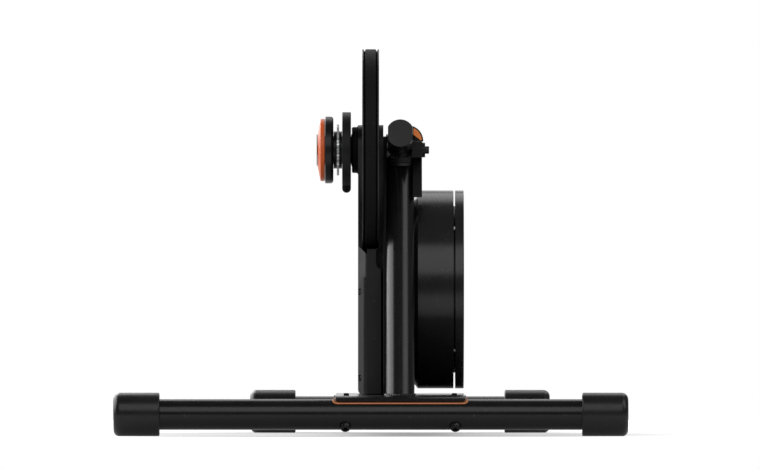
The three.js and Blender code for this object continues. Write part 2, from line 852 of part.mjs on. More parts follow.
function footRounding() {
  const radius = casingFootRadius;
  const centre = [casingOuterX + radius, plateFloorZ + radius];
  const outline = [
    [casingOuterX - cutOverrun, plateFloorZ - cutOverrun],
    [centre[0], plateFloorZ - cutOverrun],
    ...arc(centre[0], centre[1], radius, 270, 180),
    [casingOuterX - cutOverrun, centre[1]],
  ];
  return prismAlongY(outline, casingFrontY - cutOverrun, casingRearY + cutOverrun);
}

function casingOuterShell() {
  const seam = casingSeamX - seatGap / 2;
  const block = prismAlongX(casingOutline(0), casingOuterX, seam);
  const hollow = prismAlongX(casingOutline(casingWall), casingOuterX + casingWall, seam + cutOverrun);
  const hubHole = rod(casingOuterX - cutOverrun, seam, largePulleyHubRadius + runGap)
    .translate(0, axleY, axleZ);
  const room = coverRoom(casingArmX, seam + cutOverrun);
  return cut(block, hollow, room, hubHole, frontBevel(casingArmX, seam, casingOuterChamfer), footRounding());
}

function casingInnerShell() {
  const seam = casingSeamX + seatGap / 2;
  const block = prismAlongX(casingOutline(0), seam, casingInnerX);
  const hollow = prismAlongX(casingOutline(casingWall), seam - cutOverrun, casingInnerX - casingWall);
  const through = (y, z, radius) => rod(seam, casingInnerX + cutOverrun, radius, smallSteps)
    .translate(0, y, z);
  return cut(
    block,
    hollow,
    coverRoom(seam - cutOverrun, casingArmInnerX),
    through(axleY, axleZ, spacerRadius + seatGap),
    through(flywheelY, flywheelZ, casingShaftHole),
    through(...tensionerPivot(), tensionerPivotRadius + seatGap),
    frontBevel(casingArmInnerX, seam, casingInnerChamfer),
  );
}

function bearingCover() {
  const inner = casingOuterX - seatGap;
  const bore = freehubFlangeRadius + runGap;
  const centre = [bearingCoverOuterX + bearingCoverFillet, bearingCoverRadius - bearingCoverFillet];
  return turned([
    [inner, bore],
    [inner, bearingCoverRadius],
    ...arc(centre[0], centre[1], bearingCoverFillet, 90, 180),
    [bearingCoverOuterX, bore],
  ]);
}

function largePulley() {
  const rimHalf = beltWidth / 2 + pulleySideRoom;
  const webHalf = largePulleyWeb / 2;
  const rimBore = largePulleyRadius - largePulleyRim;
  const bearingFrom = hubInnerX - hubBearingWidth - seatGap;
  const wheel = turned([
    [hubOuterX, freehubRadius + runGap],
    [hubOuterX, largePulleyHubRadius],
    [-webHalf, largePulleyHubRadius],
    [-webHalf, rimBore],
    [-rimHalf, rimBore],
    [-rimHalf, largePulleyRadius],
    [rimHalf, largePulleyRadius],
    [rimHalf, rimBore],
    [webHalf, rimBore],
    [webHalf, largePulleyHubRadius],
    [hubInnerX, largePulleyHubRadius],
    [hubInnerX, hubBearingRadius + seatGap],
    [bearingFrom, hubBearingRadius + seatGap],
    [bearingFrom, freehubRadius + runGap],
  ]);
  const windowReach = (largePulleyHubRadius + rimBore) / 2;
  const windows = [];
  for (let at = 0; at < largePulleyWindows; at += 1) {
    const [y, z] = polar(windowReach, 2 * Math.PI * at / largePulleyWindows);
    windows.push(rod(-rimHalf, rimHalf, largePulleyWindowRadius, boltSteps).translate(0, y, z));
  }
  return cut(wheel, ...windows);
}

function freehubBody() {
  const flangeInnerX = casingOuterX - seatGap;
  return turned([
    [freehubOuterX, freehubBore],
    [freehubOuterX, freehubRadius],
    [innerGuardInnerX + seatGap, freehubRadius],
    [innerGuardInnerX + seatGap, freehubFlangeRadius],
    [flangeInnerX, freehubFlangeRadius],
    [flangeInnerX, freehubRadius],
    [freehubInnerX, freehubRadius],
    [freehubInnerX, freehubBore],
  ]);
}

function innerGuard() {
  const [from, to] = [innerGuardOuterX, innerGuardInnerX];
  const disc = turned([
    [from, 0],
    [from, innerGuardRadius - innerGuardEdge],
    [from + innerGuardEdge, innerGuardRadius],
    [to - innerGuardEdge, innerGuardRadius],
    [to, innerGuardRadius - innerGuardEdge],
    [to, 0],
  ], fineSteps);
  const tipRadius = (to - from) / 2;
  const centreX = (from + to) / 2;
  const lugOutline = [
    [to, -freehubRadius],
    [from, -freehubRadius],
    ...arc(centreX, tipRadius - innerGuardLugReach, tipRadius, 180, 360, 2 * arcSteps),
  ];
  const lug = prismAlongY(lugOutline, -innerGuardLugWidth / 2, innerGuardLugWidth / 2);
  const hole = rod(-innerGuardLugWidth, innerGuardLugWidth, innerGuardHoleRadius, boltSteps)
    .rotateZ(Math.PI / 2)
    .translate(centreX, 0, -innerGuardHoleReach);
  const bore = rod(from - cutOverrun, to + cutOverrun, freehubRadius + seatGap);
  return cut(join(disc, lug), hole, bore);
}

// Evenly spaced keys between the barrel and the cog, as blocks that reach from one radius to another
function cogKeys(fromX, toX, width, innerRadius, outerRadius) {
  const keys = [];
  for (let at = 0; at < cogTabs; at += 1) {
    const key = box(fromX, toX, innerRadius, outerRadius, -width / 2, width / 2);
    keys.push(key.rotateX(2 * Math.PI * at / cogTabs));
  }
  return keys;
}

function cogCarrier() {
  const from = outerGuardInnerX + seatGap;
  const to = innerGuardOuterX - seatGap;
  const barrel = ring(from, to, freehubRadius + seatGap, barrelRadius);
  const slotBottom = barrelRadius - cogTabDepth - seatGap;
  const slots = cogKeys(from - cutOverrun, to + cutOverrun, cogTabWidth + 2 * seatGap, slotBottom,
    barrelRadius + cutOverrun);
  return cut(barrel, ...slots);
}

// Half a tooth's outline, as shares of the tooth pitch and radii; the other half mirrors it.
function cogOutline() {
  const pitchRadius = chainPitch / 2 / Math.sin(Math.PI / cogTeeth);
  const rootRadius = pitchRadius - chainRollerRadius;
  const toothShares = [[0, rootRadius], [0.16, rootRadius], [0.3, pitchRadius], [0.43, cogTipRadius]];
  const mirrored = toothShares.slice(1).reverse().map(([share, radius]) => [1 - share, radius]);
  const outline = [];
  for (let tooth = 0; tooth < cogTeeth; tooth += 1) {
    for (const [share, radius] of [...toothShares, ...mirrored]) {
      outline.push(polar(radius, 2 * Math.PI * (tooth + share) / cogTeeth));
    }
  }
  return outline;
}

function cog() {
  const [from, to] = [cogX - cogThickness / 2, cogX + cogThickness / 2];
  const bore = circle(0, 0, barrelRadius + seatGap, mediumSteps);
  const toothed = prismAlongX(cogOutline(), from, to, [bore]);
  const overlap = (seatGap + cogThickness) / 4;
  const tabs = cogKeys(from, to, cogTabWidth, barrelRadius - cogTabDepth, barrelRadius + overlap);
  return join(toothed, ...tabs);
}

function outerGuard() {
  const [from, to] = [outerGuardOuterX, outerGuardInnerX];
  const centre = [to - outerGuardFillet, outerGuardRadius - outerGuardFillet];
  return turned([
    [from, freehubRadius + seatGap],
    [from, outerGuardRadius],
    ...arc(centre[0], centre[1], outerGuardFillet, 90, 0),
    [to, freehubRadius + seatGap],
  ]);
}

function chainLineDial() {
  const from = -dropoutHalf + driveFlangeThickness + seatGap;
  const to = outerGuardOuterX - seatGap;
  return turned([
    [from, freehubRadius + seatGap],
    [from, driveFlangeRadius],
    [dialRimX, dialRadius],
    [to, dialRadius],
    [to, freehubRadius + seatGap],
  ], fineSteps);
}

// The flywheel side; x is measured from the bike's centre plane and the radius from the shaft.
function flywheelRotor() {
  const rimBore = flywheelRadius - rotorRimWall;
  const webX = rotorOuterX - rotorWeb;
  return turned([
    [rotorInnerX, rimBore],
    [rotorInnerX, flywheelRadius - rotorChamferIn],
    [rotorInnerX + rotorChamferAlong, flywheelRadius],
    [rotorOuterX, flywheelRadius],
    [rotorOuterX, shaftHole],
    [rotorOuterX - rotorHubLength, shaftHole],
    [rotorOuterX - rotorHubLength, rotorHubRadius],
    [webX, rotorHubRadius],
    [webX, rimBore],
  ], fineSteps);
}

function outerDisc() {
  const from = rotorOuterX + slitWidth;
  const to = from + outerDiscThickness;
  const recess = to - outerDiscRecessDepth;
  return turned([
    [from, shaftHole],
    [from, flywheelRadius],
    [to - outerDiscChamfer, flywheelRadius],
    [to, flywheelRadius - outerDiscChamfer],
    [to, outerDiscRecessRadius],
    [recess, outerDiscRecessRadius],
    [recess, shaftHole],
  ], fineSteps);
}

function smallPulley() {
  const beltHalf = beltWidth / 2 + pulleySideRoom;
  const sideHalf = beltHalf + pulleyFlange;
  const flangeRadius = smallPulleyRadius + pulleyFlangeHeight;
  return turned([
    [-sideHalf, shaftHole],
    [-sideHalf, flangeRadius],
    [-beltHalf, flangeRadius],
    [-beltHalf, smallPulleyRadius],
    [beltHalf, smallPulleyRadius],
    [beltHalf, flangeRadius],
    [sideHalf, flangeRadius],
    [sideHalf, shaftHole],
  ], smallSteps);
}

function flywheelHousing() {
  const flangeFrom = framePlateOuterX + seatGap;
  const bore = shaftBearingRadius + seatGap;
  return turned([
    [framePlateInnerX, bore],
    [framePlateInnerX, housingRadius],
    [flangeFrom, housingRadius],
    [flangeFrom, housingFlangeRadius],
    [flangeFrom + housingFlange, housingFlangeRadius],
    [flangeFrom + housingFlange, housingRadius],
    [housingEndX, housingRadius],
    [housingEndX, bore],
  ]);
}

// The stator's core holds the coil in a ring shaped room, which the slots between the poles open.
function coilRoom() {
  const middle = (statorInnerX + statorOuterX) / 2;
  return [middle - coilLength / 2, middle + coilLength / 2];
}

function statorCore() {
  const poleX = statorOuterX - statorPoleThickness;
  const core = turned([
    [statorInnerX, housingRadius + seatGap],
    [statorInnerX, statorCoreRadius],
    [poleX, statorCoreRadius],
    [poleX, statorPoleRadius],
    [statorOuterX, statorPoleRadius],
    [statorOuterX, housingRadius + seatGap],
  ], fineSteps);
  const room = ring(...coilRoom(), coilBore, coilRadius, fineSteps);
  const slots = [];
  for (let at = 0; at < statorSlots; at += 1) {
    const half = statorSlotWidth / 2;
    const slot = box(poleX, statorOuterX + cutOverrun, coilRadius - coilSlotLap,
      statorPoleRadius + cutOverrun, -half, half);
    slots.push(slot.rotateX(2 * Math.PI * at / statorSlots));
  }
  return cut(core, room, ...slots);
}

function coil() {
  const [from, to] = coilRoom();
  return ring(from + seatGap, to - seatGap, coilBore + seatGap, coilRadius - seatGap, fineSteps);
}

// The belt idler on its tensioner arm
function tensionerPivot() {
  return [idlerY + tensionerBack, idlerZ - tensionerDown];
}

function tensionerArm() {
  const [pivotY, pivotZ] = tensionerPivot();
  const plateFrom = beltWidth / 2 + pulleySideRoom + seatGap;
  const plateTo = plateFrom + tensionerThickness;
  const tilt = Math.atan2(pivotZ - idlerZ, pivotY - idlerY) * 180 / Math.PI;
  const outline = [
    ...arc(idlerY, idlerZ, tensionerEndRadius, tilt + 90, tilt + 270, 2 * arcSteps),
    ...arc(pivotY, pivotZ, tensionerEndRadius, tilt - 90, tilt + 90, 2 * arcSteps),
  ];
  const arm = prismAlongX(outline, plateFrom, plateTo);
  const pin = rod(-beltWidth / 2, (plateFrom + plateTo) / 2, idlerPinRadius, boltSteps)
    .translate(0, idlerY, idlerZ);
  const pivot = rod((plateFrom + plateTo) / 2, framePlateInnerX - seatGap, tensionerPivotRadius,
    smallSteps).translate(0, pivotY, pivotZ);
  return join(arm, pin, pivot);
}

// The electronics box stands on the frame plate's left face, open towards the plate.
function boxPlaces() {
  const fromX = framePlateOuterX + seatGap;
  const rearY = framePlateRearY - boxRearInset;
  const fromZ = plateFloorZ + boxRise;
  return {
    fromX,
    toX: fromX + boxDepth,
    frontY: rearY - boxLength,
    rearY,
    fromZ,
    toZ: fromZ + boxHeight,
    socketX: fromX + boxDepth / 2,
    socketZ: fromZ + boxHeight / 3,
  };
}

function electronicsCover() {
  const at = boxPlaces();
  const shell = box(at.fromX, at.toX, at.frontY, at.rearY, at.fromZ, at.toZ);
  const hollow = box(at.fromX - cutOverrun, at.toX - boxWall, at.frontY + boxWall, at.rearY - boxWall,
    at.fromZ + boxWall, at.toZ - boxWall);
  const hole = (radius, rise) => rod(-boxWall - cutOverrun, cutOverrun, radius, boltSteps)
    .rotateZ(Math.PI / 2)
    .translate(at.socketX, at.rearY, at.socketZ + rise);
  return cut(shell, hollow, hole(inletRadius + seatGap, 0), hole(lightRadius + seatGap, lightRise));
}

function controlBoard() {
  const at = boxPlaces();
  const fromX = at.fromX + boardPostHeight;
  const toX = fromX + boardThickness;
  const edge = boxWall + boardRoom;
  const [frontY, rearY] = [at.frontY + edge, at.rearY - edge - inletLength];
  const [lowZ, highZ] = [at.fromZ + edge, at.toZ - edge];
  const board = box(fromX, toX, frontY, rearY, lowZ, highZ);
  const posts = [];
  for (const y of [frontY + boardPostInset, rearY - boardPostInset]) {
    for (const z of [lowZ + boardPostInset, highZ - boardPostInset]) {
      posts.push(rod(at.fromX, toX, boardPostRadius, boltSteps).translate(0, y, z));
    }
  }
  const middleY = (frontY + rearY) / 2;
  const middleZ = (lowZ + highZ) / 2;
  const half = boardPartHeight / 2;
  const parts = [-1, 1].map((side) =>
    box(fromX, toX + half, middleY - half, middleY + half,
      middleZ + side * boardPartHeight - half, middleZ + side * boardPartHeight + half));
  return join(board, ...posts, ...parts);
}

// A small round fitting in the box's rear wall, turned with x = 0 on the wall's outer face
function inRearWall(geometry, rise) {
  const at = boxPlaces();
  return geometry.rotateZ(Math.PI / 2).translate(at.socketX, at.rearY, at.socketZ + rise);
}

function powerInlet() {
  const face = seatGap + inletFlange;
  const outline = [
    [-inletLength, 0],
    [-inletLength, inletRadius],
    [seatGap, inletRadius],
    [seatGap, inletFlangeRadius],
    [face, inletFlangeRadius],
    [face, inletBore],
    [face - inletBoreDepth, inletBore],
    [face - inletBoreDepth, inletPinRadius],
    [seatGap, inletPinRadius],
    [seatGap, 0],
  ];
  return inRearWall(turned(outline, boltSteps), 0);
}

function statusLight() {
  const face = seatGap + lightFlange;
  const outline = [
    [-lightLength, 0],
    [-lightLength, lightRadius],
    [seatGap, lightRadius],
    [seatGap, lightFlangeRadius],
    [face, lightFlangeRadius],
    [face, 0],
  ];
  return inRearWall(turned(outline, boltSteps), lightRise);
}

const trainer = new THREE.Group();

function buildStand() {
  const halfSpan = legSpan / 2;
  legStation('front', -halfSpan, 0, frontLegLength, -frameX);
  legStation('rear', halfSpan, Math.PI, rearLegLength, 0);
  const middle = groupAt(trainer, frameX, 0, 0);
  piece(middle, 'base_plate', basePlate(), frameBlack);
}

function buildFrame() {
  piece(trainer, 'upright_tube', uprightTube(), frameBlack);
  piece(trainer, 'frame_plate', framePlate(), frameBlack);
  const bore = axleHole;
  const head = ring(headInnerX, headOuterX, bore, headRadius).translate(0, axleY, axleZ);
  piece(trainer, 'axle_head', head, frameBlack);
  piece(trainer, 'handle_bracket', handleBracket(), frameBlack);
  piece(trainer, 'handle_tube', handleTube(), frameBlack);
  piece(trainer, 'handle_end_cap', handleCap(), mouldedBlack);
  piece(trainer, 'head_pod', headPod(), mouldedBlack);
  piece(trainer, 'pod_inlay', podInlay(), brightOrange);
}

function buildCasing() {
  piece(trainer, 'casing_outer_shell', casingOuterShell(), mouldedBlack);
  piece(trainer, 'casing_inner_shell', casingInnerShell(), mouldedBlack);
  const centre = groupAt(trainer, 0, axleY, axleZ);
  const hubHole = largePulleyHubRadius + runGap;
  const outer = coverDisc(coverOuterX, coverOuterX + coverWall, hubHole);
  const inner = coverDisc(coverInnerX, coverInnerX - coverWall, spacerRadius + seatGap);
  piece(centre, 'pulley_cover_outer', outer, mouldedBlack);
  piece(centre, 'pulley_cover_band', rimBand(), mouldedBlack);
  piece(centre, 'pulley_cover_inner', inner, mouldedBlack);
  piece(centre, 'bearing_cover', bearingCover(), mouldedBlack);
}

function buildAxle() {
  const centre = groupAt(trainer, 0, axleY, axleZ);
  piece(centre, 'main_axle', mainAxle(), bareSteel);
  piece(centre, 'drive_side_adapter', driveAdapter(), darkCast);
  piece(centre, 'left_side_adapter', leftAdapter(), darkCast);
  const spacer = ring(hubInnerX + runGap, framePlateInnerX - seatGap, axleHole, spacerRadius, smallSteps);
  piece(centre, 'axle_spacer', spacer, bareSteel);
}

function buildPulleyAndFreehub() {
  const centre = groupAt(trainer, 0, axleY, axleZ);
  piece(centre, 'large_pulley', largePulley(), bareAluminium);
  const bearingFrom = hubInnerX - hubBearingWidth;
  const bearing = ring(bearingFrom, hubInnerX, axleHole, hubBearingRadius, smallSteps);
  piece(centre, 'pulley_bearing', bearing, bareSteel);
  piece(centre, 'freehub_body', freehubBody(), darkCast);
  const hubBearingFrom = freehubOuterX + freehubBearingInset;
  const hubBearing = ring(hubBearingFrom, hubBearingFrom + freehubBearingLength, axleHole,
    freehubBore - seatGap, smallSteps);
  piece(centre, 'freehub_bearing', hubBearing, bareSteel);
  piece(centre, 'inner_guard', innerGuard(), mouldedBlack);
  piece(centre, 'cog_carrier', cogCarrier(), darkCast);
  piece(centre, 'cog', cog(), bareSteel);
  piece(centre, 'outer_guard', outerGuard(), mouldedBlack);
  piece(centre, 'chain_line_dial', chainLineDial(), brightOrange);
}

function buildFlywheel() {
  const centre = groupAt(trainer, 0, flywheelY, flywheelZ);
  const discFace = rotorOuterX + slitWidth + outerDiscThickness - outerDiscRecessDepth;
  const nutFrom = discFace + seatGap;
  const nutTo = nutFrom + shaftNutThickness;
  piece(centre, 'flywheel_shaft', rod(shaftInnerX, nutTo, shaftRadius, smallSteps), bareSteel);
  piece(centre, 'small_pulley', smallPulley(), bareAluminium);
  piece(centre, 'flywheel_rotor', flywheelRotor(), darkCast);
  const slitFrom = rotorOuterX + seatGap;
  const slitTo = rotorOuterX + slitWidth - seatGap;
  piece(centre, 'slit_disc', ring(slitFrom, slitTo, shaftHole, slitDiscRadius), darkCast);
  piece(centre, 'flywheel_disc', outerDisc(), frameBlack);
  const nut = cut(rod(nutFrom, nutTo, shaftNutRadius, 6), rod(nutFrom - cutOverrun, nutTo + cutOverrun,
    shaftHole, smallSteps));
  piece(centre, 'shaft_nut', nut, boltBlack);
  piece(centre, 'flywheel_housing', flywheelHousing(), darkCast);
  const innerFrom = framePlateOuterX + shaftBearingInset;
  const outerFrom = housingEndX - shaftBearingInset - shaftBearingWidth;
  for (const [name, from] of [['inner', innerFrom], ['outer', outerFrom]]) {
    const bearing = ring(from, from + shaftBearingWidth, shaftHole, shaftBearingRadius, smallSteps);
    piece(centre, `flywheel_bearing_${name}`, bearing, bareSteel);
  }
  piece(centre, 'brake_stator', statorCore(), darkCast);
  piece(centre, 'brake_coil', coil(), copper);
}

function buildBeltAndIdler() {
  piece(trainer, 'drive_belt', driveBelt(), rubberBlack);
  piece(trainer, 'tensioner_arm', tensionerArm(), bareSteel);
  const half = beltWidth / 2;
  const wheel = ring(-half, half, idlerPinRadius + seatGap, idlerRadius, smallSteps);
  piece(trainer, 'idler_pulley', wheel.translate(0, idlerY, idlerZ), mouldedBlack);
}

function buildElectronics() {
  piece(trainer, 'electronics_cover', electronicsCover(), mouldedBlack);
  piece(trainer, 'control_board', controlBoard(), boardGreen);
  piece(trainer, 'power_inlet', powerInlet(), mouldedBlack);
  piece(trainer, 'status_light', statusLight(), clearLens);
}

buildStand();
buildFrame();
buildCasing();
buildAxle();
buildPulleyAndFreehub();
buildFlywheel();
buildBeltAndIdler();
buildElectronics();

export default trainer;
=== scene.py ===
import json
from math import acos, asin, atan2, copysign, cos, degrees, pi, radians, sin, sqrt, tan
import bmesh
import bpy
from mathutils import Matrix, Vector
from mathutils.geometry import tessellate_polygon


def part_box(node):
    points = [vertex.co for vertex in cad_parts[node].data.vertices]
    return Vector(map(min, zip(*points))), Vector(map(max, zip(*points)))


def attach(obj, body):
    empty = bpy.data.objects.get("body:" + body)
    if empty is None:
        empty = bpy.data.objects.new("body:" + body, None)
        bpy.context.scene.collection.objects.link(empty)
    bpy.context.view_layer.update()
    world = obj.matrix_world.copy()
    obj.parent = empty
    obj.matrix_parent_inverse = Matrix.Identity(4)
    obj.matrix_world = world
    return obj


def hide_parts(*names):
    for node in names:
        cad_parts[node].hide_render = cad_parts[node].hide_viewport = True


# A direct drive bike trainer. Sizes are in millimetres: +X is the bike's left, +Y its rear and +Z up.
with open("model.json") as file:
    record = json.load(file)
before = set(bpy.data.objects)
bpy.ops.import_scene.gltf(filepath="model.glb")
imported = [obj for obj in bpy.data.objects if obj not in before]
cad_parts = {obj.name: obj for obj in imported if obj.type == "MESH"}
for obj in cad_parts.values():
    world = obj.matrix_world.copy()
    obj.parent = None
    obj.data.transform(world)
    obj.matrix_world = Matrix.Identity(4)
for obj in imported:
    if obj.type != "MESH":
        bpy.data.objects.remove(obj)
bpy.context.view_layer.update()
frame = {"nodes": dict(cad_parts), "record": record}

MM = 0.001
LARGE = 160  # facets round a flywheel or a cover
MEDIUM = 96
SMALL = 40
CORNER_STEPS = 5  # facets of a rounded corner
EDGE = 0.5  # the usual rounding of an edge
SOFT_EDGE = 1
FINE_EDGE = 0.3
SHARP_ANGLE = 38  # degrees; a steeper edge is a real one
STEEP_ANGLE = 50
SUNK_DEPTH = 0.9  # of a sunk panel or ring
RUN = 1  # how far a cutting tool runs past the face that it opens
SEAM = 0.3  # between pieces that meet
TURN = 2 * pi

nodes = frame["nodes"]
body_of = {node: body for body, names in frame["record"]["behaviour"]["bodies"].items() for node in names}
slot_of = {part["node"]: part["material_slot"] for part in frame["record"]["subparts"]}


def corners(node):
    """The lowest and highest corner of a CAD node, in millimetres."""
    low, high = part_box(node)
    return low / MM, high / MM


def middle(node):
    low, high = corners(node)
    return (low + high) / 2


def new_object(name, data):
    made = bpy.data.objects.new(name, data)
    bpy.context.scene.collection.objects.link(made)
    return made


# Photograph's view: a level camera in front of the front leg, looking along +Y
VIEW_DISTANCE = 24730
VIEW_X = 11.3
VIEW_Z = 248.5
LENS = 950
SENSOR = 36
FAR_CLIP = 100  # in metres


def make_camera():
    data = bpy.data.cameras.new("camera")
    data.lens = LENS
    data.sensor_width = SENSOR
    data.clip_end = FAR_CLIP
    camera = new_object("camera", data)
    camera.location = Vector((VIEW_X, middle("front_leg_tube").y - VIEW_DISTANCE, VIEW_Z)) * MM
    camera.rotation_euler = (pi / 2, 0, 0)
    bpy.context.scene.camera = camera


# Studio: a pale floor, a world that is white behind the object, and soft panels round it
WHITE = (1, 1, 1, 1)
FLOOR_RADIUS = 2000
FLOOR_DROP = 0.2
FLOOR_COLOUR = (0.45, 0.45, 0.45, 1)
FLOOR_NEAR_GLOW = 0.3
FLOOR_FAR_GLOW = 1.0
FLOOR_GLOSS_SHARE = 0.4  # of the floor's glow that reflections see
FLOOR_NEAR = 260
FLOOR_FAR = 600
WORLD_FILL = 0.45
WORLD_GLOSS = 0.12
PANELS = {
    # name: (azimuth, elevation, distance, width, height, radiance)
    "front_panel": (0, 34, 2600, 1500, 1650, 1.6),
    "right_panel": (62, 42, 2600, 1500, 1900, 1.9),
    "left_panel": (-105, 24, 2600, 2300, 2000, 3.6),
    "left_back_panel": (-151, 22, 3000, 1900, 1800, 2.9),
    "back_panel_low": (180, 6, 3000, 2600, 1500, 1.0),
    "back_panel_high": (180, 42, 3000, 3200, 1500, 1.4),
}


def wire(tree, node, inputs):
    """Sets a shader node's inputs; a value that is itself a socket is linked."""
    for name, value in inputs.items():
        if isinstance(value, bpy.types.NodeSocket):
            tree.links.new(value, node.inputs[name])
        else:
            node.inputs[name].default_value = value


def shade(tree, kind, inputs, **settings):
    """Adds a shader node and gives its outputs."""
    node = tree.nodes.new(f"ShaderNode{kind}")
    for setting, value in settings.items():
        setattr(node, setting, value)
    wire(tree, node, inputs)
    return node.outputs


def maths(tree, operation, first, second):
    return shade(tree, "Math", {0: first, 1: second}, operation=operation)[0]


def spread(tree, value, low, high, from_low, from_high):
    """Maps a value from one range onto another."""
    inputs = {"Value": value, "From Min": from_low, "From Max": from_high, "To Min": low, "To Max": high}
    return shade(tree, "MapRange", inputs)[0]


def bare_tree(owner):
    owner.use_nodes = True
    owner.node_tree.nodes.clear()
    return owner.node_tree


def make_panel(name, azimuth, elevation, distance, width, height, radiance):
    """An area light round the object; azimuth 0 is in front of it and 90 on its +X side."""
    data = bpy.data.lights.new(name, "AREA")
    data.shape = "RECTANGLE"
    data.size = width * MM
    data.size_y = height * MM
    data.energy = radiance * pi * data.size * data.size_y
    panel = new_object(name, data)
    side, up = radians(azimuth), radians(elevation)
    away = Vector((sin(side) * cos(up), -cos(side) * cos(up), sin(up)))
    panel.location = (away * distance + Vector((0, 0, VIEW_Z))) * MM
    panel.rotation_euler = away.to_track_quat("Z", "Y").to_euler()
    panel.visible_camera = False


def make_world():
    world = bpy.data.worlds.new("studio")
    bpy.context.scene.world = world
    tree = bare_tree(world)
    ray = shade(tree, "LightPath", {})
    seen = maths(tree, "MAXIMUM", ray["Is Camera Ray"], ray["Is Transmission Ray"])
    fill, gloss, white = [shade(tree, "Background", {"Color": WHITE, "Strength": strength})[0]
                          for strength in (WORLD_FILL, WORLD_GLOSS, 1)]
    unseen = shade(tree, "MixShader", {"Fac": ray["Is Glossy Ray"], 1: fill, 2: gloss})[0]
    light = shade(tree, "MixShader", {"Fac": seen, 1: unseen, 2: white})[0]
    shade(tree, "OutputWorld", {"Surface": light})


def make_floor():
    rim = circle((0, 0), FLOOR_RADIUS, LARGE)
    mesh = bpy.data.meshes.new("floor")
    mesh.from_pydata([Vector((*point, 0)) * MM for point in rim], [], [range(LARGE)])
    floor = new_object("floor", mesh)
    floor.location.z = -FLOOR_DROP * MM
    material = bpy.data.materials.new("studio_floor")
    tree = bare_tree(material)
    ray = shade(tree, "LightPath", {})
    place = shade(tree, "TexCoord", {})["Object"]
    length = shade(tree, "VectorMath", {0: place}, operation="LENGTH")["Value"]
    reach = spread(tree, length, FLOOR_NEAR_GLOW, FLOOR_FAR_GLOW, FLOOR_NEAR * MM, FLOOR_FAR * MM)
    shine = maths(tree, "MULTIPLY", ray["Is Glossy Ray"], FLOOR_GLOSS_SHARE)
    seen = maths(tree, "MAXIMUM", ray["Is Camera Ray"], shine)
    glow = shade(tree, "Emission", {"Strength": maths(tree, "MULTIPLY", seen, reach)})[0]
    diffuse = shade(tree, "BsdfDiffuse", {"Color": FLOOR_COLOUR})[0]
    total = shade(tree, "AddShader", {0: diffuse, 1: glow})[0]
    shade(tree, "OutputMaterial", {"Surface": total})
    mesh.materials.append(material)


# Materials. Each is one Principled surface whose colour and roughness drift over the piece and
# whose grain is a fine bump; scales are in waves per metre.
NOISE_RANGE = (0.35, 0.65)
PATCH_SCALE = 30
PATCH_DETAIL = 3.0
FINE_DETAIL = 2.0
SPECK_SHINE = 0.03  # how far the grain moves the roughness either way
SCRATCH_SCALE = 260
SCRATCH_STRETCH = (1, 5, 0.5)
SCRATCH_PEAKS = (0.68, 0.76)
WEAR = ((0.10, 0.10, 0.10), 0.25)  # the colour of the fine scratches that handling leaves, and its share
BOLT_WEAR = ((0.25, 0.25, 0.25), 0.3)

materials = {}


def noise(tree, scale, detail, stretch=None):
    """Noise in the piece's own coordinates, drawn out along an axis if stretch gives three scales."""
    place = shade(tree, "TexCoord", {})["Object"]
    if stretch:
        place = shade(tree, "Mapping", {"Vector": place, "Scale": stretch})[0]
    return shade(tree, "TexNoise", {"Vector": place, "Scale": scale, "Detail": detail})["Fac"]


def mixed(tree, factor, first, second):
    return shade(tree, "Mix", {"Factor": factor, 6: first, 7: second}, data_type="RGBA")[2]


def finish(name, dark, light, roughness, grain, depth, wear=None, stretch=None,
           metallic=0.0, specular=0.5, coat=0.0):
    """A material with two close colours, a roughness range, a grain scale and the grain's depth in mm."""
    material = bpy.data.materials.new(name)
    material.use_nodes = True
    tree = material.node_tree
    cloud = noise(tree, PATCH_SCALE, PATCH_DETAIL)
    colour = mixed(tree, cloud, (*dark, 1), (*light, 1))
    if wear:
        worn, share = wear
        scratch = noise(tree, SCRATCH_SCALE, FINE_DETAIL, SCRATCH_STRETCH)
        colour = mixed(tree, spread(tree, scratch, 0, share, *SCRATCH_PEAKS), colour, (*worn, 1))
    speck = noise(tree, grain, FINE_DETAIL, stretch)
    drift = maths(tree, "ADD", spread(tree, cloud, *roughness, *NOISE_RANGE),
                  spread(tree, speck, -SPECK_SHINE, SPECK_SHINE, *NOISE_RANGE))
    bump = shade(tree, "Bump", {"Distance": depth * MM, "Strength": 1, "Height": speck})[0]
    wire(tree, tree.nodes["Principled BSDF"], {
        "Base Color": colour, "Roughness": drift, "Normal": bump,
        "Metallic": metallic, "Specular IOR Level": specular, "Coat Weight": coat})
    materials[name] = material


def black(name, dark, light, *surface, **more):
    finish(name, (dark,) * 3, (light,) * 3, *surface, **more)


black("frame_paint", 0.004, 0.006, (0.20, 0.25), 1500, 0.003, WEAR, specular=0.34)
black("moulded_black", 0.004, 0.006, (0.32, 0.38), 2200, 0.006, WEAR, specular=0.32)
black("matte_black", 0.006, 0.008, (0.60, 0.68), 2200, 0.02, WEAR, specular=0.10)
black("soft_black", 0.006, 0.008, (0.46, 0.52), 2200, 0.01, WEAR, specular=0.26)
black("disc_black", 0.014, 0.020, (0.40, 0.48), 1600, 0.012, WEAR, specular=0.36)
black("cap_rubber", 0.006, 0.009, (0.27, 0.33), 1300, 0.006, WEAR, specular=0.34)
black("belt_rubber", 0.012, 0.02, (0.65, 0.75), 1800, 0.05)
black("flywheel_paint", 0.009, 0.012, (0.20, 0.25), 1200, 0.002, WEAR, specular=0.36)
black("bolt_black", 0.012, 0.02, (0.25, 0.34), 1600, 0.015, BOLT_WEAR)
finish("dark_cast", (0.007, 0.007, 0.0075), (0.011, 0.011, 0.0115), (0.32, 0.40), 900, 0.01, WEAR,
       specular=0.3)
# A lighter copy of the liner's orange: a painted highlight along the liner's bead.
finish("bead_orange_painted_highlight", (0.60, 0.21, 0.08), (0.66, 0.24, 0.095), (0.30, 0.38), 1800, 0.005)
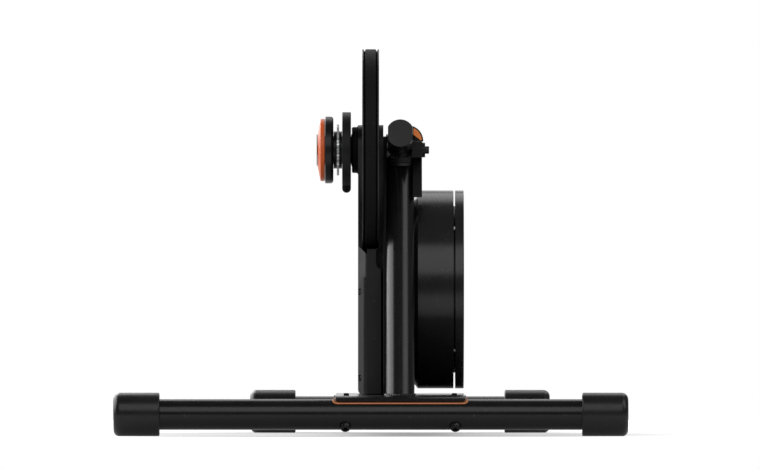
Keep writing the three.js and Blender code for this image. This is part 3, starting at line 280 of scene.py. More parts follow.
# A brightened copy of the orange plastic: painted light on the pod's front-facing inlay, which the lamps
# light dimly.
finish("inlay_orange_painted_light", (0.90, 0.24, 0.055), (0.96, 0.27, 0.065), (0.28, 0.34), 1800, 0.01)
finish("orange_plastic", (0.64, 0.105, 0.020), (0.70, 0.125, 0.026), (0.32, 0.38), 1800, 0.02, specular=0.3)
# The liner's orange darkened to brown: painted shade where the plate's lip shades it.
finish("liner_orange", (0.20, 0.07, 0.03), (0.25, 0.09, 0.04), (0.40, 0.50), 1500, 0.01)
finish("bare_steel", (0.62, 0.63, 0.64), (0.72, 0.73, 0.74), (0.28, 0.38), 700, 0.004,
       stretch=(6, 1, 1), metallic=0.7)
finish("bare_aluminium", (0.66, 0.67, 0.68), (0.74, 0.75, 0.76), (0.30, 0.40), 900, 0.005,
       stretch=(6, 1, 1), metallic=0.7)
finish("copper_winding", (0.42, 0.15, 0.06), (0.52, 0.20, 0.08), (0.28, 0.36), 1000, 0.02,
       stretch=(8, 1, 1), metallic=0.8)
finish("circuit_board", (0.015, 0.09, 0.035), (0.02, 0.12, 0.05), (0.35, 0.45), 600, 0.02)
finish("clear_lens", (0.72, 0.78, 0.80), (0.78, 0.84, 0.86), (0.08, 0.12), 900, 0.004, coat=0.5)


# Shapes, drawn in millimetres where they stand and written to the mesh in metres. The third value
# of a point in an outline or a profile, where it has one, is the radius of that corner.
BEVEL_SEGMENTS = 3
BEAD_STEPS = 10
BEAD_SWELL_SHARE = 0.14
SCREW_CROWN_SHARE = 0.7
SCREW_FLOOR_SHARE = 1 / 3  # of the head's height under its socket
SCREW_STEPS = 6  # facets of a head's dome, and sides of its socket


def placed(axis, along, first, second):
    """A point from its place along an axis and its two other coordinates, in the order x, y, z."""
    order = {"X": (along, first, second), "Y": (first, along, second), "Z": (first, second, along)}
    return Vector(order[axis])


def arc(centre, radius, low, high, steps=CORNER_STEPS):
    """Points on an arc between two angles in degrees."""
    angles = [radians(low + (high - low) * at / steps) for at in range(steps + 1)]
    return [(centre[0] + radius * cos(angle), centre[1] + radius * sin(angle)) for angle in angles]


def circle(centre, radius, steps=SMALL):
    return arc(centre, radius, 0, 360, steps)[:-1]


def rounded(points):
    outline = []
    for at, (*place, radius) in enumerate(point if len(point) > 2 else (*point, 0) for point in points):
        if not radius:
            outline.append(tuple(place))
            continue
        corner = Vector(place)
        before = (Vector(points[at - 1][:2]) - corner).normalized()
        after = (Vector(points[(at + 1) % len(points)][:2]) - corner).normalized()
        half = before.angle(after) / 2
        centre = corner + (before + after).normalized() * radius / sin(half)
        start = corner + before * radius / tan(half) - centre
        end = corner + after * radius / tan(half) - centre
        low = atan2(start.y, start.x)
        sweep = (atan2(end.y, end.x) - low + pi) % TURN - pi
        outline += arc(centre, radius, degrees(low), degrees(low + sweep))
    return outline


def oblong(low, high, corner=0):
    """A rectangle between two opposite corners."""
    return [(low[0], low[1], corner), (high[0], low[1], corner), (high[0], high[1], corner),
            (low[0], high[1], corner)]


def ring(low, high, inner, outer, edge=0):
    """The profile of a turned ring, or of a disc where its inner radius is zero."""
    return [(low, inner), (low, outer, edge), (high, outer, edge), (high, inner)]


def grooves(places, radius, depth):
    """V grooves in the outside of a profile."""
    return [point for along in places
            for point in ((along - depth, radius), (along, radius - depth), (along + depth, radius))]


def ridged(start, end, inward, count):
    """Points along a straight line, with V grooves in it."""
    start, end, inward = Vector(start), Vector(end), Vector(inward)
    points = [tuple(start)]
    for at in range(count):
        points.append(tuple(start.lerp(end, (at + 0.5) / count) + inward))
        points.append(tuple(start.lerp(end, (at + 1) / count)))
    return points


def piece_from(name, shape):
    """An object from a bmesh that is in millimetres."""
    bmesh.ops.recalc_face_normals(shape, faces=shape.faces)
    bmesh.ops.scale(shape, vec=(MM, MM, MM), verts=shape.verts)
    mesh = bpy.data.meshes.new(name)
    shape.to_mesh(mesh)
    shape.free()
    return new_object(name, mesh)


def lofted(name, rings, closed=False):
    """Joins rings of points, each one closed; a ring of one point is a tip. Open ends get a flat face."""
    shape = bmesh.new()
    loops = [[shape.verts.new(point) for point in points] for points in rings]
    following = loops[1:] + loops[:1] if closed else loops[1:]
    for near, far in zip(loops, following):
        for at in range(max(len(near), len(far))):
            face = (near[at % len(near)], near[(at + 1) % len(near)],
                    far[(at + 1) % len(far)], far[at % len(far)])
            face = list(dict.fromkeys(face))
            if len(face) > 2:
                shape.faces.new(face)
    for end in () if closed else (loops[0], loops[-1]):
        shape.faces.new(end)
    return piece_from(name, shape)


def turned(name, profile, centre, steps=MEDIUM, axis="X"):
    """Turns a closed profile of (along, radius) points about an axis through the centre."""
    rings = []
    for along, radius in rounded(profile):
        points = circle(centre, radius, steps) if radius > 0 else [centre]
        rings.append([placed(axis, along, *point) for point in points])
    return lofted(name, rings, closed=True)


def prism(name, outline, low, high, axis="X", holes=()):
    """Draws an outline out along an axis; holes are outlines inside it."""
    shape = bmesh.new()
    flat = [[Vector((*point, 0)) for point in loop] for loop in (rounded(outline), *holes)]
    ends = [[[shape.verts.new(placed(axis, along, *point.xy)) for point in loop] for loop in flat]
            for along in (low, high)]
    for near, far in zip(*ends):
        for at in range(len(near)):
            shape.faces.new((near[at - 1], near[at], far[at], far[at - 1]))
    for end in ends:
        points = [vert for loop in end for vert in loop]
        for face in tessellate_polygon(flat) if holes else [range(len(points))]:
            shape.faces.new([points[at] for at in face])
    return piece_from(name, shape)


def pegs(name, places, radius, low, high):
    """Round bars along X, one at each place."""
    return [prism(f"{name}_{at}", circle(place, radius), low, high) for at, place in enumerate(places)]


def settle(piece):
    """Applies a piece's modifiers to its mesh."""
    seen = piece.evaluated_get(bpy.context.evaluated_depsgraph_get())
    mesh = bpy.data.meshes.new_from_object(seen)
    piece.modifiers.clear()
    piece.data = mesh
    return piece


def combined(piece, operation, *others):
    """A boolean of a piece with others, which are used up: DIFFERENCE, UNION or INTERSECT."""
    for other in others:
        step = piece.modifiers.new(other.name, "BOOLEAN")
        step.operation = operation
        step.solver = "EXACT"
        step.object = other
    settle(piece)
    for other in others:
        bpy.data.objects.remove(other)
    return piece


def eased(piece, width, angle=SHARP_ANGLE):
    """Rounds the edges that are steeper than an angle."""
    bevel = piece.modifiers.new("ease", "BEVEL")
    bevel.width = width * MM
    bevel.segments = BEVEL_SEGMENTS
    bevel.limit_method = "ANGLE"
    bevel.angle_limit = radians(angle)
    return settle(piece)


def aimed(piece, origin, direction):
    """Turns a piece made along Z at the origin so that it points along a direction from a place."""
    turn = Vector(direction).to_track_quat("Z", "Y").to_matrix().to_4x4()
    piece.data.transform(Matrix.Translation(Vector(origin) * MM) @ turn)
    return piece


def fit(piece, beside, slot, look=None):
    """Shades a piece and lets it ride with the CAD node that it is fixed to."""
    piece.data.materials.clear()
    piece.data.materials.append(materials[look or slot])
    piece.data.shade_smooth()
    piece.data.set_sharp_from_angle(angle=radians(SHARP_ANGLE))
    weighted = piece.modifiers.new("weighted", "WEIGHTED_NORMAL")
    weighted.keep_sharp = True
    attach(piece, body_of[beside])


def stand_for(piece, replaced, look=None):
    """Dresses a piece that is shown instead of a CAD node."""
    fit(piece, replaced, slot_of[replaced], look)
    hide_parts(replaced)


def round_box(node):
    """Of a node that is round about X: its two ends, its centre and its radius."""
    low, high = corners(node)
    centre = ((low.y + high.y) / 2, (low.z + high.z) / 2)
    return low.x, high.x, centre, max(high.y - low.y, high.z - low.z) / 2


def radius_of(node):
    return round_box(node)[3]


def lathe(name, node, profile, steps=MEDIUM, look=None, cuts=()):
    """A turned piece that is shown instead of a CAD node, round the node's own centre."""
    piece = turned(name, profile, round_box(node)[2], steps)
    if cuts:
        combined(piece, "DIFFERENCE", *cuts)
    stand_for(piece, node, look)


def lathe_ring(name, node, bore, edge=0, steps=MEDIUM):
    low, high, _, radius = round_box(node)
    lathe(name, node, ring(low, high, bore, radius, edge), steps)


def bead(name, path, radius, ripples=0, closed=True):
    """A round bead along a path; a weld's bead swells with the ripples of its run."""
    rings = []
    last = len(path) - 1
    for at, point in enumerate(path):
        before, after = path[max(at - 1, 0)], path[min(at + 1, last)]
        if closed:
            before, after = path[at - 1], path[(at + 1) % len(path)]
        along = (after - before).normalized()
        side = along.cross(Vector((0, 0, 1))).normalized()
        up = side.cross(along)
        swell = radius * (1 + BEAD_SWELL_SHARE * cos(TURN * ripples * at / len(path)))
        rings.append([point + side * x + up * z for x, z in circle((0, 0), swell, BEAD_STEPS)])
    return lofted(name, rings, closed)


def button_screw(name, radius, height, socket, origin, direction):
    """A button head screw with a hexagon socket; its head rises from the origin along a direction."""
    crown = radius * SCREW_CROWN_SHARE
    dome = [(height * up, crown + (radius - crown) * out) for out, up in arc((0, 0), 1, 0, 90, SCREW_STEPS)]
    head = turned(name, [(0, 0), (0, radius), *dome, (height, 0)], (0, 0), SMALL, "Z")
    hexagon, floor = circle((0, 0), socket, SCREW_STEPS), height * SCREW_FLOOR_SHARE
    combined(head, "DIFFERENCE", prism(f"{name}_socket", hexagon, floor, height + RUN, "Z"))
    return aimed(head, origin, direction)


def add_screws(name, size, x, way, places, beside):
    """Screws on a face across X; size is a head's radius, its height and its socket's radius."""
    for at, place in enumerate(places):
        fit(button_screw(f"{name}_{at}", *size, (x, *place), (way, 0, 0)), beside, "bolt_black")


# Stand
LEG_WALL = 2.5
CAP_CORNER = 8
CAP_LIP = 2
CAP_END_WALL = 12
PLATE_THICKNESS = 2.5
PLATE_LIP_ANGLE = 49  # degrees above the leg's front
PLATE_CORNER = 5
PLATE_ROOM = 1.6  # between a leg and the plate that wraps it
SHEET_EDGE_SHARE = 0.2  # of a sheet's thickness
LINER_THICKNESS = 1
LINER_SHOW = 2
LINER_BEAD = 0.65
LINER_CURL = 3  # how far the bead runs on up the sides
LINER_BACK_ANGLE = 99
LEG_BOLT_ANGLE = 48  # degrees below the leg's front
LEG_BOLT = (6.85, 5.6, 3)  # like every screw: head radius, head height and socket radius
WASHER_RADIUS = 7.6
WASHER_DEPTH = 1.4  # how far it is let into the leg
WASHER_RISE = 0.6
PLATE_SCREW = (3.5, 3.2, 1.5)
PLATE_SCREW_INSET = 13.3  # from the plate's side
PLATE_SCREW_BACK = 34  # from the plate's front edge
LEGS = {"front": -1, "rear": 1}  # the side of the stand that each leg is on


def make_leg_cap(name, hand):
    node = f"{name}_leg_cap_{hand}"
    low, high = corners(node)
    _, tube_high, centre, bore = round_box(f"{name}_leg_tube")
    radius = (high.y - low.y) / 2
    mouth_x, tip = (low.x, high.x) if high.x > tube_high else (high.x, low.x)
    floor = tip + copysign(CAP_END_WALL, mouth_x - tip)
    cap = turned(f"{name}_cap_{hand}", [
        (mouth_x, bore), (mouth_x, radius, CAP_LIP), (tip, radius, CAP_CORNER), (tip, 0), (floor, 0),
        (floor, bore)], centre)
    for vertex in cap.data.vertices:
        vertex.co.z = max(vertex.co.z, low.z * MM)
    stand_for(cap, node)


def make_sheet(name, node, stations, thickness):
    """A bent sheet with round corners; stations are (point, normal) along its inner side."""
    low, high = corners(node)
    middle_x, half_width = (low.x + high.x) / 2, (high.x - low.x) / 2
    reach = [0]
    for (before, _), (after, _) in zip(stations, stations[1:]):
        reach.append(reach[-1] + (after - before).length)
    rings = []
    for (point, normal), done in zip(stations, reach):
        short = max(PLATE_CORNER - min(done, reach[-1] - done), 0)
        half = half_width - PLATE_CORNER + sqrt(PLATE_CORNER ** 2 - short ** 2)
        outside = point + normal * thickness
        rings.append([Vector((middle_x + x, *place)) for x, place in (
            (-half, point), (half, point), (half, outside), (-half, outside))])
    stand_for(eased(lofted(name, rings), thickness * SHEET_EDGE_SHARE), node)


def leg_wrap(name, radius, low, high, steps=MEDIUM):
    """Stations round a leg, between angles in degrees above its outer side."""
    centre = round_box(f"{name}_leg_tube")[2]
    normals = [Vector((LEGS[name] * out, up)) for out, up in arc((0, 0), 1, low, high, steps)]
    return [(Vector(centre) + normal * radius, normal) for normal in normals]


def make_base_plate():
    low, high = corners("base_plate")
    inner = radius_of("front_leg_tube") + PLATE_ROOM
    stations = leg_wrap("front", inner, PLATE_LIP_ANGLE, 90) + leg_wrap("rear", inner, 90, PLATE_LIP_ANGLE)
    make_sheet("base", "base_plate", stations, PLATE_THICKNESS)
    for hand, x in (("left", high.x - PLATE_SCREW_INSET), ("right", low.x + PLATE_SCREW_INSET)):
        origin = (x, low.y + PLATE_SCREW_BACK, high.z)
        screw = button_screw(f"plate_screw_{hand}", *PLATE_SCREW, origin, (0, 0, 1))
        fit(screw, "base_plate", "bolt_black", "matte_black")


def make_liner(name):
    node = f"{name}_leg_liner"
    low, high = corners(node)
    inner = radius_of(f"{name}_leg_tube") + SEAM
    low_angle = PLATE_LIP_ANGLE - degrees(LINER_SHOW / (inner + LINER_THICKNESS))
    make_sheet(f"{name}_liner", node, leg_wrap(name, inner, low_angle, LINER_BACK_ANGLE), LINER_THICKNESS)
    corner, reach = PLATE_CORNER, inner + LINER_THICKNESS / 2
    path = []
    for x, up in ((low.x, corner + LINER_CURL), *arc((low.x + corner, corner), corner, 180, 270),
                  *arc((high.x - corner, corner), corner, 270, 360), (high.x, corner + LINER_CURL)):
        angle = low_angle + degrees(up / reach)
        (point, _), *_ = leg_wrap(name, reach, angle, angle, 1)
        path.append(Vector((x, *point)))
    # The bead is shown in the lighter orange: a painted highlight along the liner's edge.
    fit(bead(f"{name}_liner_bead", path, LINER_BEAD, closed=False), node, "liner_orange", "bead_orange_painted_highlight")


def make_leg_bolt(name, hand):
    node = f"{name}_leg_bolt_{hand}"
    _, _, centre, leg_radius = round_box(f"{name}_leg_tube")
    down = radians(LEG_BOLT_ANGLE)
    direction = Vector((0, LEGS[name] * cos(down), -sin(down)))
    origin = Vector((middle(node).x, *centre)) + direction * (leg_radius - SEAM)
    stand_for(button_screw(f"{name}_bolt_{hand}", *LEG_BOLT, origin, direction), node, "moulded_black")
    profile = ring(-WASHER_DEPTH, WASHER_RISE, 0, WASHER_RADIUS)
    washer = turned(f"{name}_washer_{hand}", profile, (0, 0), SMALL, "Z")
    fit(aimed(eased(washer, WASHER_RISE / 2), origin, direction), node, "bolt_black", "matte_black")


def make_stand():
    for name in LEGS:
        lathe_ring(f"{name}_leg", f"{name}_leg_tube", radius_of(f"{name}_leg_tube") - LEG_WALL)
        make_liner(name)
        for hand in ("left", "right"):
            make_leg_cap(name, hand)
            make_leg_bolt(name, hand)
    make_base_plate()


# Frame: the leaning upright, the plate beside it, the axle head, the handle and the side pod
UPRIGHT_FOOT_Y = -175
UPRIGHT_RADIUS = 17.6
WELD_RADIUS = 2.2
WELD_RIPPLES = 34
WELD_STEPS = 320
WELD_LAP = 0.5  # how far welded pieces run into each other
FRAME_EDGE = 0.4
HANDLE_RISE = 10  # degrees
HANDLE_RADIUS = 17.3
HANDLE_FLAT = 15.25
HANDLE_REACH = 110  # from the axle to the end cap's face
HANDLE_END_Z = 374.3
HANDLE_SEAT = 34  # from the axle forward
HANDLE_CAP = 4
BRACKET_AROUND = 26  # radius of the bracket round the axle
BRACKET_ANGLES = (100, -45)  # where that round starts and ends
COLLAR_GROOVE = 0.5
COLLAR_GROOVE_SHARES = (0.14, 0.62)
FRAME_SHOULDER_FRONT = 14
FRAME_SHOULDER_REAR = 110
FRAME_TOP_RADIUS = 17
FRAME_CORNER = 5
POD_HALF_WIDTH = 16
CROWN = (45.3, 364.7)
CROWN_RADIUS = 19.9
CROWN_ANGLES = (-1, 180)
POD_BOTTOM_Z = 294.7
POD_OUTER_X = 63.5
POD_WHEEL_ROOM = 4
POD_EDGE = 0.8
INLAY_BORDER = 1.7
INLAY_INNER_X = 52.9
INLAY_CORNER_RISE = 7.8
INLAY_TIP_X = 61.8
INLAY_TIP_RISE = 1
INLAY_DEPTH = 3
INLAY_EDGE = 0.35

axle_low, axle_high, axle_centre, axle_radius = round_box("axle_head")
frame_x = middle("upright_tube").x
plate_top = corners("base_plate")[1].z
upright_foot = Vector((frame_x, UPRIGHT_FOOT_Y, plate_top))
upright_way = (Vector((frame_x, *axle_centre)) - upright_foot).normalized()
upright_lean = atan2(upright_way.y, upright_way.z)
handle_rise = radians(HANDLE_RISE)
handle_seat = Vector((frame_x, axle_centre[0] - HANDLE_SEAT,
                      HANDLE_END_Z - (HANDLE_REACH - HANDLE_SEAT) * tan(handle_rise)))


def leaning_ring(radius, z, steps=MEDIUM):
    """The ring where a round bar on the upright's axis meets a level plane."""
    points = []
    for x, y in circle((0, 0), radius, steps):
        point = upright_foot + Vector((x, y * cos(upright_lean), -y * sin(upright_lean)))
        points.append(point + upright_way * (z - point.z) / upright_way.z)
    return points


def leaning_bar(name, radius):
    return lofted(name, [leaning_ring(radius, z) for z in (plate_top, axle_centre[1])])


def make_upright():
    stand_for(leaning_bar("upright", UPRIGHT_RADIUS), "upright_tube")
    path = leaning_ring(UPRIGHT_RADIUS, plate_top, WELD_STEPS)
    fit(bead("upright_weld", path, WELD_RADIUS, WELD_RIPPLES), "upright_tube", "frame_paint")


def over_axle(front, rear, radius):
    """An arc over the axle that runs into straight lines from a point in front and one behind."""
    angles = []
    for place, turn in ((front, -1), (rear, 1)):
        back = Vector(place) - Vector(axle_centre)
        angle = atan2(back.y, back.x) + turn * acos(radius / back.length)
        angles.append(degrees(angle) % 360)
    return arc(axle_centre, radius, *angles, SMALL)


def make_frame_plate():
    low, high = corners("frame_plate")
    front, rear = (low.y, low.z + FRAME_SHOULDER_FRONT), (high.y, low.z + FRAME_SHOULDER_REAR)
    plate = prism("side_plate", [
        (high.y, low.z), (low.y, low.z), (*front, FRAME_CORNER), *over_axle(front, rear, FRAME_TOP_RADIUS),
        (*rear, FRAME_CORNER)], low.x, axle_low + WELD_LAP)
    stand_for(eased(plate, FRAME_EDGE), "frame_plate", "matte_black")


def make_handle():
    half = degrees(acos(HANDLE_FLAT / HANDLE_RADIUS))
    outline = [point for start in (0, 180)
               for point in arc((0, 0), HANDLE_RADIUS, start + half, start + 180 - half, SMALL)]
    length = (HANDLE_REACH - HANDLE_SEAT) / cos(handle_rise)
    cap_back = length - HANDLE_CAP
    for name, node, near, far, edge in (("handle", "handle_tube", SEAM, cap_back - SEAM, SEAM),
                                        ("handle_cap", "handle_end_cap", cap_back, length, EDGE)):
        piece = prism(name, outline, -far, -near, "Y")
        piece.data.transform(Matrix.Translation(handle_seat * MM) @ Matrix.Rotation(-handle_rise, 4, "X"))
        stand_for(eased(piece, edge), node)


def make_bracket():
    low, high = corners("handle_bracket")
    _, seat_y, seat_z = handle_seat
    across, up = HANDLE_RADIUS * sin(handle_rise), HANDLE_RADIUS * cos(handle_rise)
    collar = (high.x - low.x) / 2
    middle_y = seat_y - across + collar
    bracket = prism("bracket", [
        (middle_y, low.z), (middle_y, seat_z - up), (seat_y - across, seat_z - up),
        (seat_y + across, seat_z + up), *arc(axle_centre, BRACKET_AROUND, *BRACKET_ANGLES, SMALL),
        (axle_centre[0], low.z)], low.x, high.x)
    stand_for(eased(bracket, FRAME_EDGE), "handle_bracket")
    levels = [low.z + (seat_z - low.z) * share for share in COLLAR_GROOVE_SHARES]
    profile = [(low.z, 0), (low.z, collar - COLLAR_GROOVE), *grooves(levels, collar, COLLAR_GROOVE),
               (seat_z, collar), (seat_z, 0)]
    post = turned("bracket_collar", profile, ((low.x + high.x) / 2, middle_y), MEDIUM, "Z")
    # The collar takes the cover's lighter black, not the frame's paint: painted light where the handle
    # shades it.
    fit(post, "handle_bracket", "frame_paint", "disc_black")


def inlay_outline(margin):
    radius = CROWN_RADIUS - INLAY_BORDER + margin
    from_x = INLAY_INNER_X - margin
    rise = INLAY_TIP_RISE - margin
    steepest = degrees(acos((from_x - CROWN[0]) / radius))
    lowest = degrees(asin(rise / radius))
    return [
        (from_x, CROWN[1] + INLAY_CORNER_RISE - margin),
        (INLAY_TIP_X - margin, CROWN[1] + rise),
        *arc(CROWN, radius, lowest, steepest, SMALL),
    ]


def make_pod():
    low, high = corners("head_pod")
    crown_x, crown_z = CROWN
    drift = (POD_BOTTOM_Z - crown_z) * tan(upright_lean)
    front_y, rear_y = high.y - 2 * POD_HALF_WIDTH / cos(upright_lean), high.y
    pod = prism("pod", [
        (front_y + drift, POD_BOTTOM_Z, POD_EDGE), (rear_y + drift, POD_BOTTOM_Z, POD_EDGE),
        (rear_y, crown_z), (front_y, crown_z)], low.x, POD_OUTER_X)
    top = arc(CROWN, CROWN_RADIUS, *CROWN_ANGLES, MEDIUM)
    crown = prism("pod_crown", top, front_y, rear_y, "Y")
    limit = oblong((low.x, POD_BOTTOM_Z), (crown_x + CROWN_RADIUS + RUN, high.z + RUN))
    combined(crown, "INTERSECT", prism("pod_limit", limit, front_y - RUN, rear_y + RUN, "Y"))
    combined(pod, "UNION", crown)
    _, _, wheel_centre, wheel = round_box("flywheel_rotor")
    past_x, (axle_y, axle_z) = POD_OUTER_X + RUN, axle_centre
    half = radius_of("left_side_adapter") + SEAM
    notch = oblong((low.x - RUN, axle_z - half), (past_x, axle_z + half))
    combined(
        pod, "DIFFERENCE",
        turned("pod_head", ring(0, axle_high + SEAM, 0, axle_radius + SEAM), axle_centre),
        turned("pod_wheel", ring(0, past_x, 0, wheel + POD_WHEEL_ROOM), wheel_centre, LARGE),
        leaning_bar("pod_upright", UPRIGHT_RADIUS + SEAM),
        prism("pod_pocket", inlay_outline(SEAM), front_y - RUN, front_y + INLAY_DEPTH + SEAM, "Y"),
        prism("pod_notch", notch, front_y + drift - RUN, axle_y, "Y"))
    stand_for(eased(pod, POD_EDGE / 2, STEEP_ANGLE), "head_pod")
    inlay = prism("inlay", inlay_outline(0), front_y, front_y + INLAY_DEPTH, "Y")
    # The inlay is shown in the brightened orange: painted light.
    stand_for(eased(inlay, INLAY_EDGE), "pod_inlay", "inlay_orange_painted_light")


# Round pulley cover and belt casing
COVER_FLANGE = 1.5
COVER_GROOVE = 3
COVER_HUB_HOLE = 24.5
RECESS_INNER = 44
RECESS_MARGIN = 10  # from the sunk ring to the rim
COVER_SPACER_ROOM = 1
BAND_WALL = 4.5
BAND_CHAMFER = 1.5
CASING_ARM_RADIUS = 31
FRONT_TOP = (-35, 228)
SHOULDER_Z = 205
SHOULDER_RADIUS = 12
CASING_FOOT = 6
CASING_TOE = 1
PANEL_INSET = 18  # of the sunk panel on the casing's side
PANEL_CORNER = 8
SLANT = 8  # how far the outer shell's front slants back to its outer face
SLANT_EDGE_X = -6.8
STEP = 2  # at the seam of the two shells
STEP_Z = 195
MOUTH_Z = 234.8  # of the mouth's slanting edge on the outer face
MOUTH_FLOOR = 230.5
MOUTH_CORNER_X = 7.4
SET_BACK = 12  # of the arms behind the casing's front
POCKET = (6.3, 213.1)  # inner side and lower end of the pocket beside the upright
POCKET_RADIUS = 8.7
POCKET_TOP_Z = 228.6
POCKET_DEPTH = 16
BACK_EDGE_X = 12.6  # where the inner shell's front starts to slant back beside the upright
BACK_SLANT = 9
CASING_SCREW = (3.2, 1.6, 1.5)
CASING_SCREW_INSET = 7.5  # from the casing's front or rear edge
CASING_SCREW_LEVELS = (70, 177)
WELL_RADIUS = 4.2
WELL_DEPTH = 4
BOSS_LAP = 4  # of the bearing cover over the casing's hole


def make_cover():
    low_x, high_x, _, radius = round_box("pulley_cover_outer")
    inner_low, inner_high, _, _ = round_box("pulley_cover_inner")
    groove = radius - COVER_GROOVE
    depth, inner, outer = SUNK_DEPTH, RECESS_INNER, radius - RECESS_MARGIN
    spacer_hole = radius_of("axle_spacer") + COVER_SPACER_ROOM
    for name, face, way, back, hole in (("outer", low_x, 1, high_x, COVER_HUB_HOLE),
                                        ("inner", inner_high, -1, inner_low, spacer_hole)):
        floor = face + way * depth
        lathe(f"cover_{name}", f"pulley_cover_{name}", [
            (face, hole), (face, inner - depth, EDGE), (floor, inner, EDGE),
            (floor, outer, EDGE), (face, outer + depth, EDGE), (face, radius, EDGE),
            (face + way * COVER_FLANGE, radius), (back, groove), (back, hole)], LARGE, "disc_black")
    lathe("cover_band", "pulley_cover_band", [
        (high_x, radius - BAND_WALL), (high_x, groove), (high_x + BAND_CHAMFER, radius, EDGE),
        (inner_low - BAND_CHAMFER, radius, EDGE), (inner_low, groove),
        (inner_low, radius - BAND_WALL)], LARGE, "matte_black")


casing_low, casing_high = corners("casing_outer_shell")


def casing_shell(name, low_x, high_x):
    shoulder = (casing_high.y, SHOULDER_Z)
    return prism(name, [
        (casing_high.y, casing_low.z, CASING_FOOT), (casing_low.y, casing_low.z, CASING_TOE),
        (*FRONT_TOP, SHOULDER_RADIUS), *over_axle(FRONT_TOP, shoulder, CASING_ARM_RADIUS),
        (*shoulder, SHOULDER_RADIUS)], low_x, high_x)


def casing_front(z):
    """Where the casing's sloping front stands at a height."""
    share = (z - casing_low.z) / (FRONT_TOP[1] - casing_low.z)
    return casing_low.y + share * (FRONT_TOP[0] - casing_low.y)


def sloping_cut(name, high_z, *edge):
    """A tool that cuts the casing's front back to an edge of (x, depth behind the front) points."""
    reach = [(edge[-1][0], -SLANT), (edge[0][0], -SLANT)]
    return lofted(name, [[Vector((x, casing_front(z) + depth, z)) for x, depth in [*edge, *reach]]
                         for z in (0, high_z)])


def mouth(name, edge, back_y):
    """A tool that opens the casing's front above an edge of (x, z) points, as far back as a plane."""
    top = axle_centre[1] + CASING_ARM_RADIUS + RUN
    return prism(name, [*edge, (edge[-1][0], top), (edge[0][0], top)], casing_front(0) - RUN, back_y, "Y")


def cover_room(name, low_x, high_x):
    _, _, centre, radius = round_box("pulley_cover_outer")
    return turned(name, ring(low_x, high_x, 0, radius), centre, LARGE)


def make_outer_shell(set_back):
    low, high = casing_low, casing_high
    disc_x = corners("pulley_cover_outer")[0].x
    hole = radius_of("bearing_cover") - BOSS_LAP
    side, seam_x = low.x - RUN, high.x + RUN
    edge_z = MOUTH_Z + low.x
    foot = (low.x + CASING_FOOT, low.z + CASING_FOOT)
    width = SLANT_EDGE_X - low.x
    step_x = SLANT_EDGE_X - STEP * width / SLANT
    well_x = low.x + WELL_DEPTH
    places = [(y, z) for z in CASING_SCREW_LEVELS
              for y in (casing_front(z) + CASING_SCREW_INSET, high.y - CASING_SCREW_INSET)]
    inset = PANEL_INSET
    bottom, top = low.z + inset, SHOULDER_Z - inset
    panel = [(casing_front(bottom) + inset, bottom), (high.y - inset, bottom), (high.y - inset, top),
             (casing_front(top) + inset, top)]
    shell = casing_shell("casing_outer", low.x, high.x)
    combined(
        shell, "DIFFERENCE", *pegs("casing_well", places, WELL_RADIUS, side, well_x),
        prism("casing_panel", [(*point, PANEL_CORNER) for point in panel], side, low.x + SUNK_DEPTH),
        cover_room("outer_room", disc_x, seam_x),
        turned("outer_hub", ring(side, seam_x, 0, hole), axle_centre),
        mouth("outer_set_back", [(side, edge_z - side), (seam_x, edge_z - seam_x)], set_back),
        mouth("outer_mouth", [(disc_x, edge_z - disc_x), (seam_x, edge_z - seam_x)], axle_centre[0]),
        sloping_cut("outer_slant", MOUTH_Z + SET_BACK,
                    (side, SLANT * (width + RUN) / width), (SLANT_EDGE_X, 0)),
        sloping_cut("outer_step", STEP_Z, (step_x, STEP), (seam_x, STEP)),
        prism("outer_foot", [(side, low.z - RUN), (foot[0], low.z - RUN), *arc(foot, CASING_FOOT, 270, 180),
                             (side, foot[1])], low.y - RUN, high.y + RUN, "Y"),
    )
    stand_for(eased(shell, EDGE), "casing_outer_shell")
    add_screws("casing_screw", CASING_SCREW, well_x, -1, places, "casing_outer_shell")


def make_inner_shell(set_back):
    low, _ = corners("casing_inner_shell")
    disc_x = corners("pulley_cover_inner")[1].x
    back_x = corners("frame_plate")[0].x
    side, seam_x = back_x + RUN, low.x - RUN
    floor = MOUTH_FLOOR
    corner = (MOUTH_CORNER_X, floor)
    rise = floor - MOUTH_CORNER_X
    pocket_x, pocket_z = POCKET
    shell = casing_shell("casing_inner", casing_high.x, back_x)
    combined(
        shell, "DIFFERENCE",
        cover_room("inner_room", seam_x, disc_x),
        mouth("inner_set_back", [(seam_x, floor), corner, (side, rise + side)], set_back),
        mouth("inner_mouth", [(seam_x, floor), corner, (disc_x, rise + disc_x)], axle_centre[0]),
        prism("inner_pocket", [
            (pocket_x, POCKET_TOP_Z),
            *arc((pocket_x + POCKET_RADIUS, pocket_z), POCKET_RADIUS, 180, 270),
            (side, pocket_z - POCKET_RADIUS), (side, POCKET_TOP_Z - pocket_x + side),
        ], low.y - RUN, FRONT_TOP[0] + POCKET_DEPTH, "Y"),
        sloping_cut("inner_slant", floor, (BACK_EDGE_X, 0), (side, BACK_SLANT)),
    )
    stand_for(eased(shell, EDGE), "casing_inner_shell", "soft_black")


def make_casing():
    set_back = FRONT_TOP[0] + SET_BACK
    make_outer_shell(set_back)
    make_inner_shell(set_back)


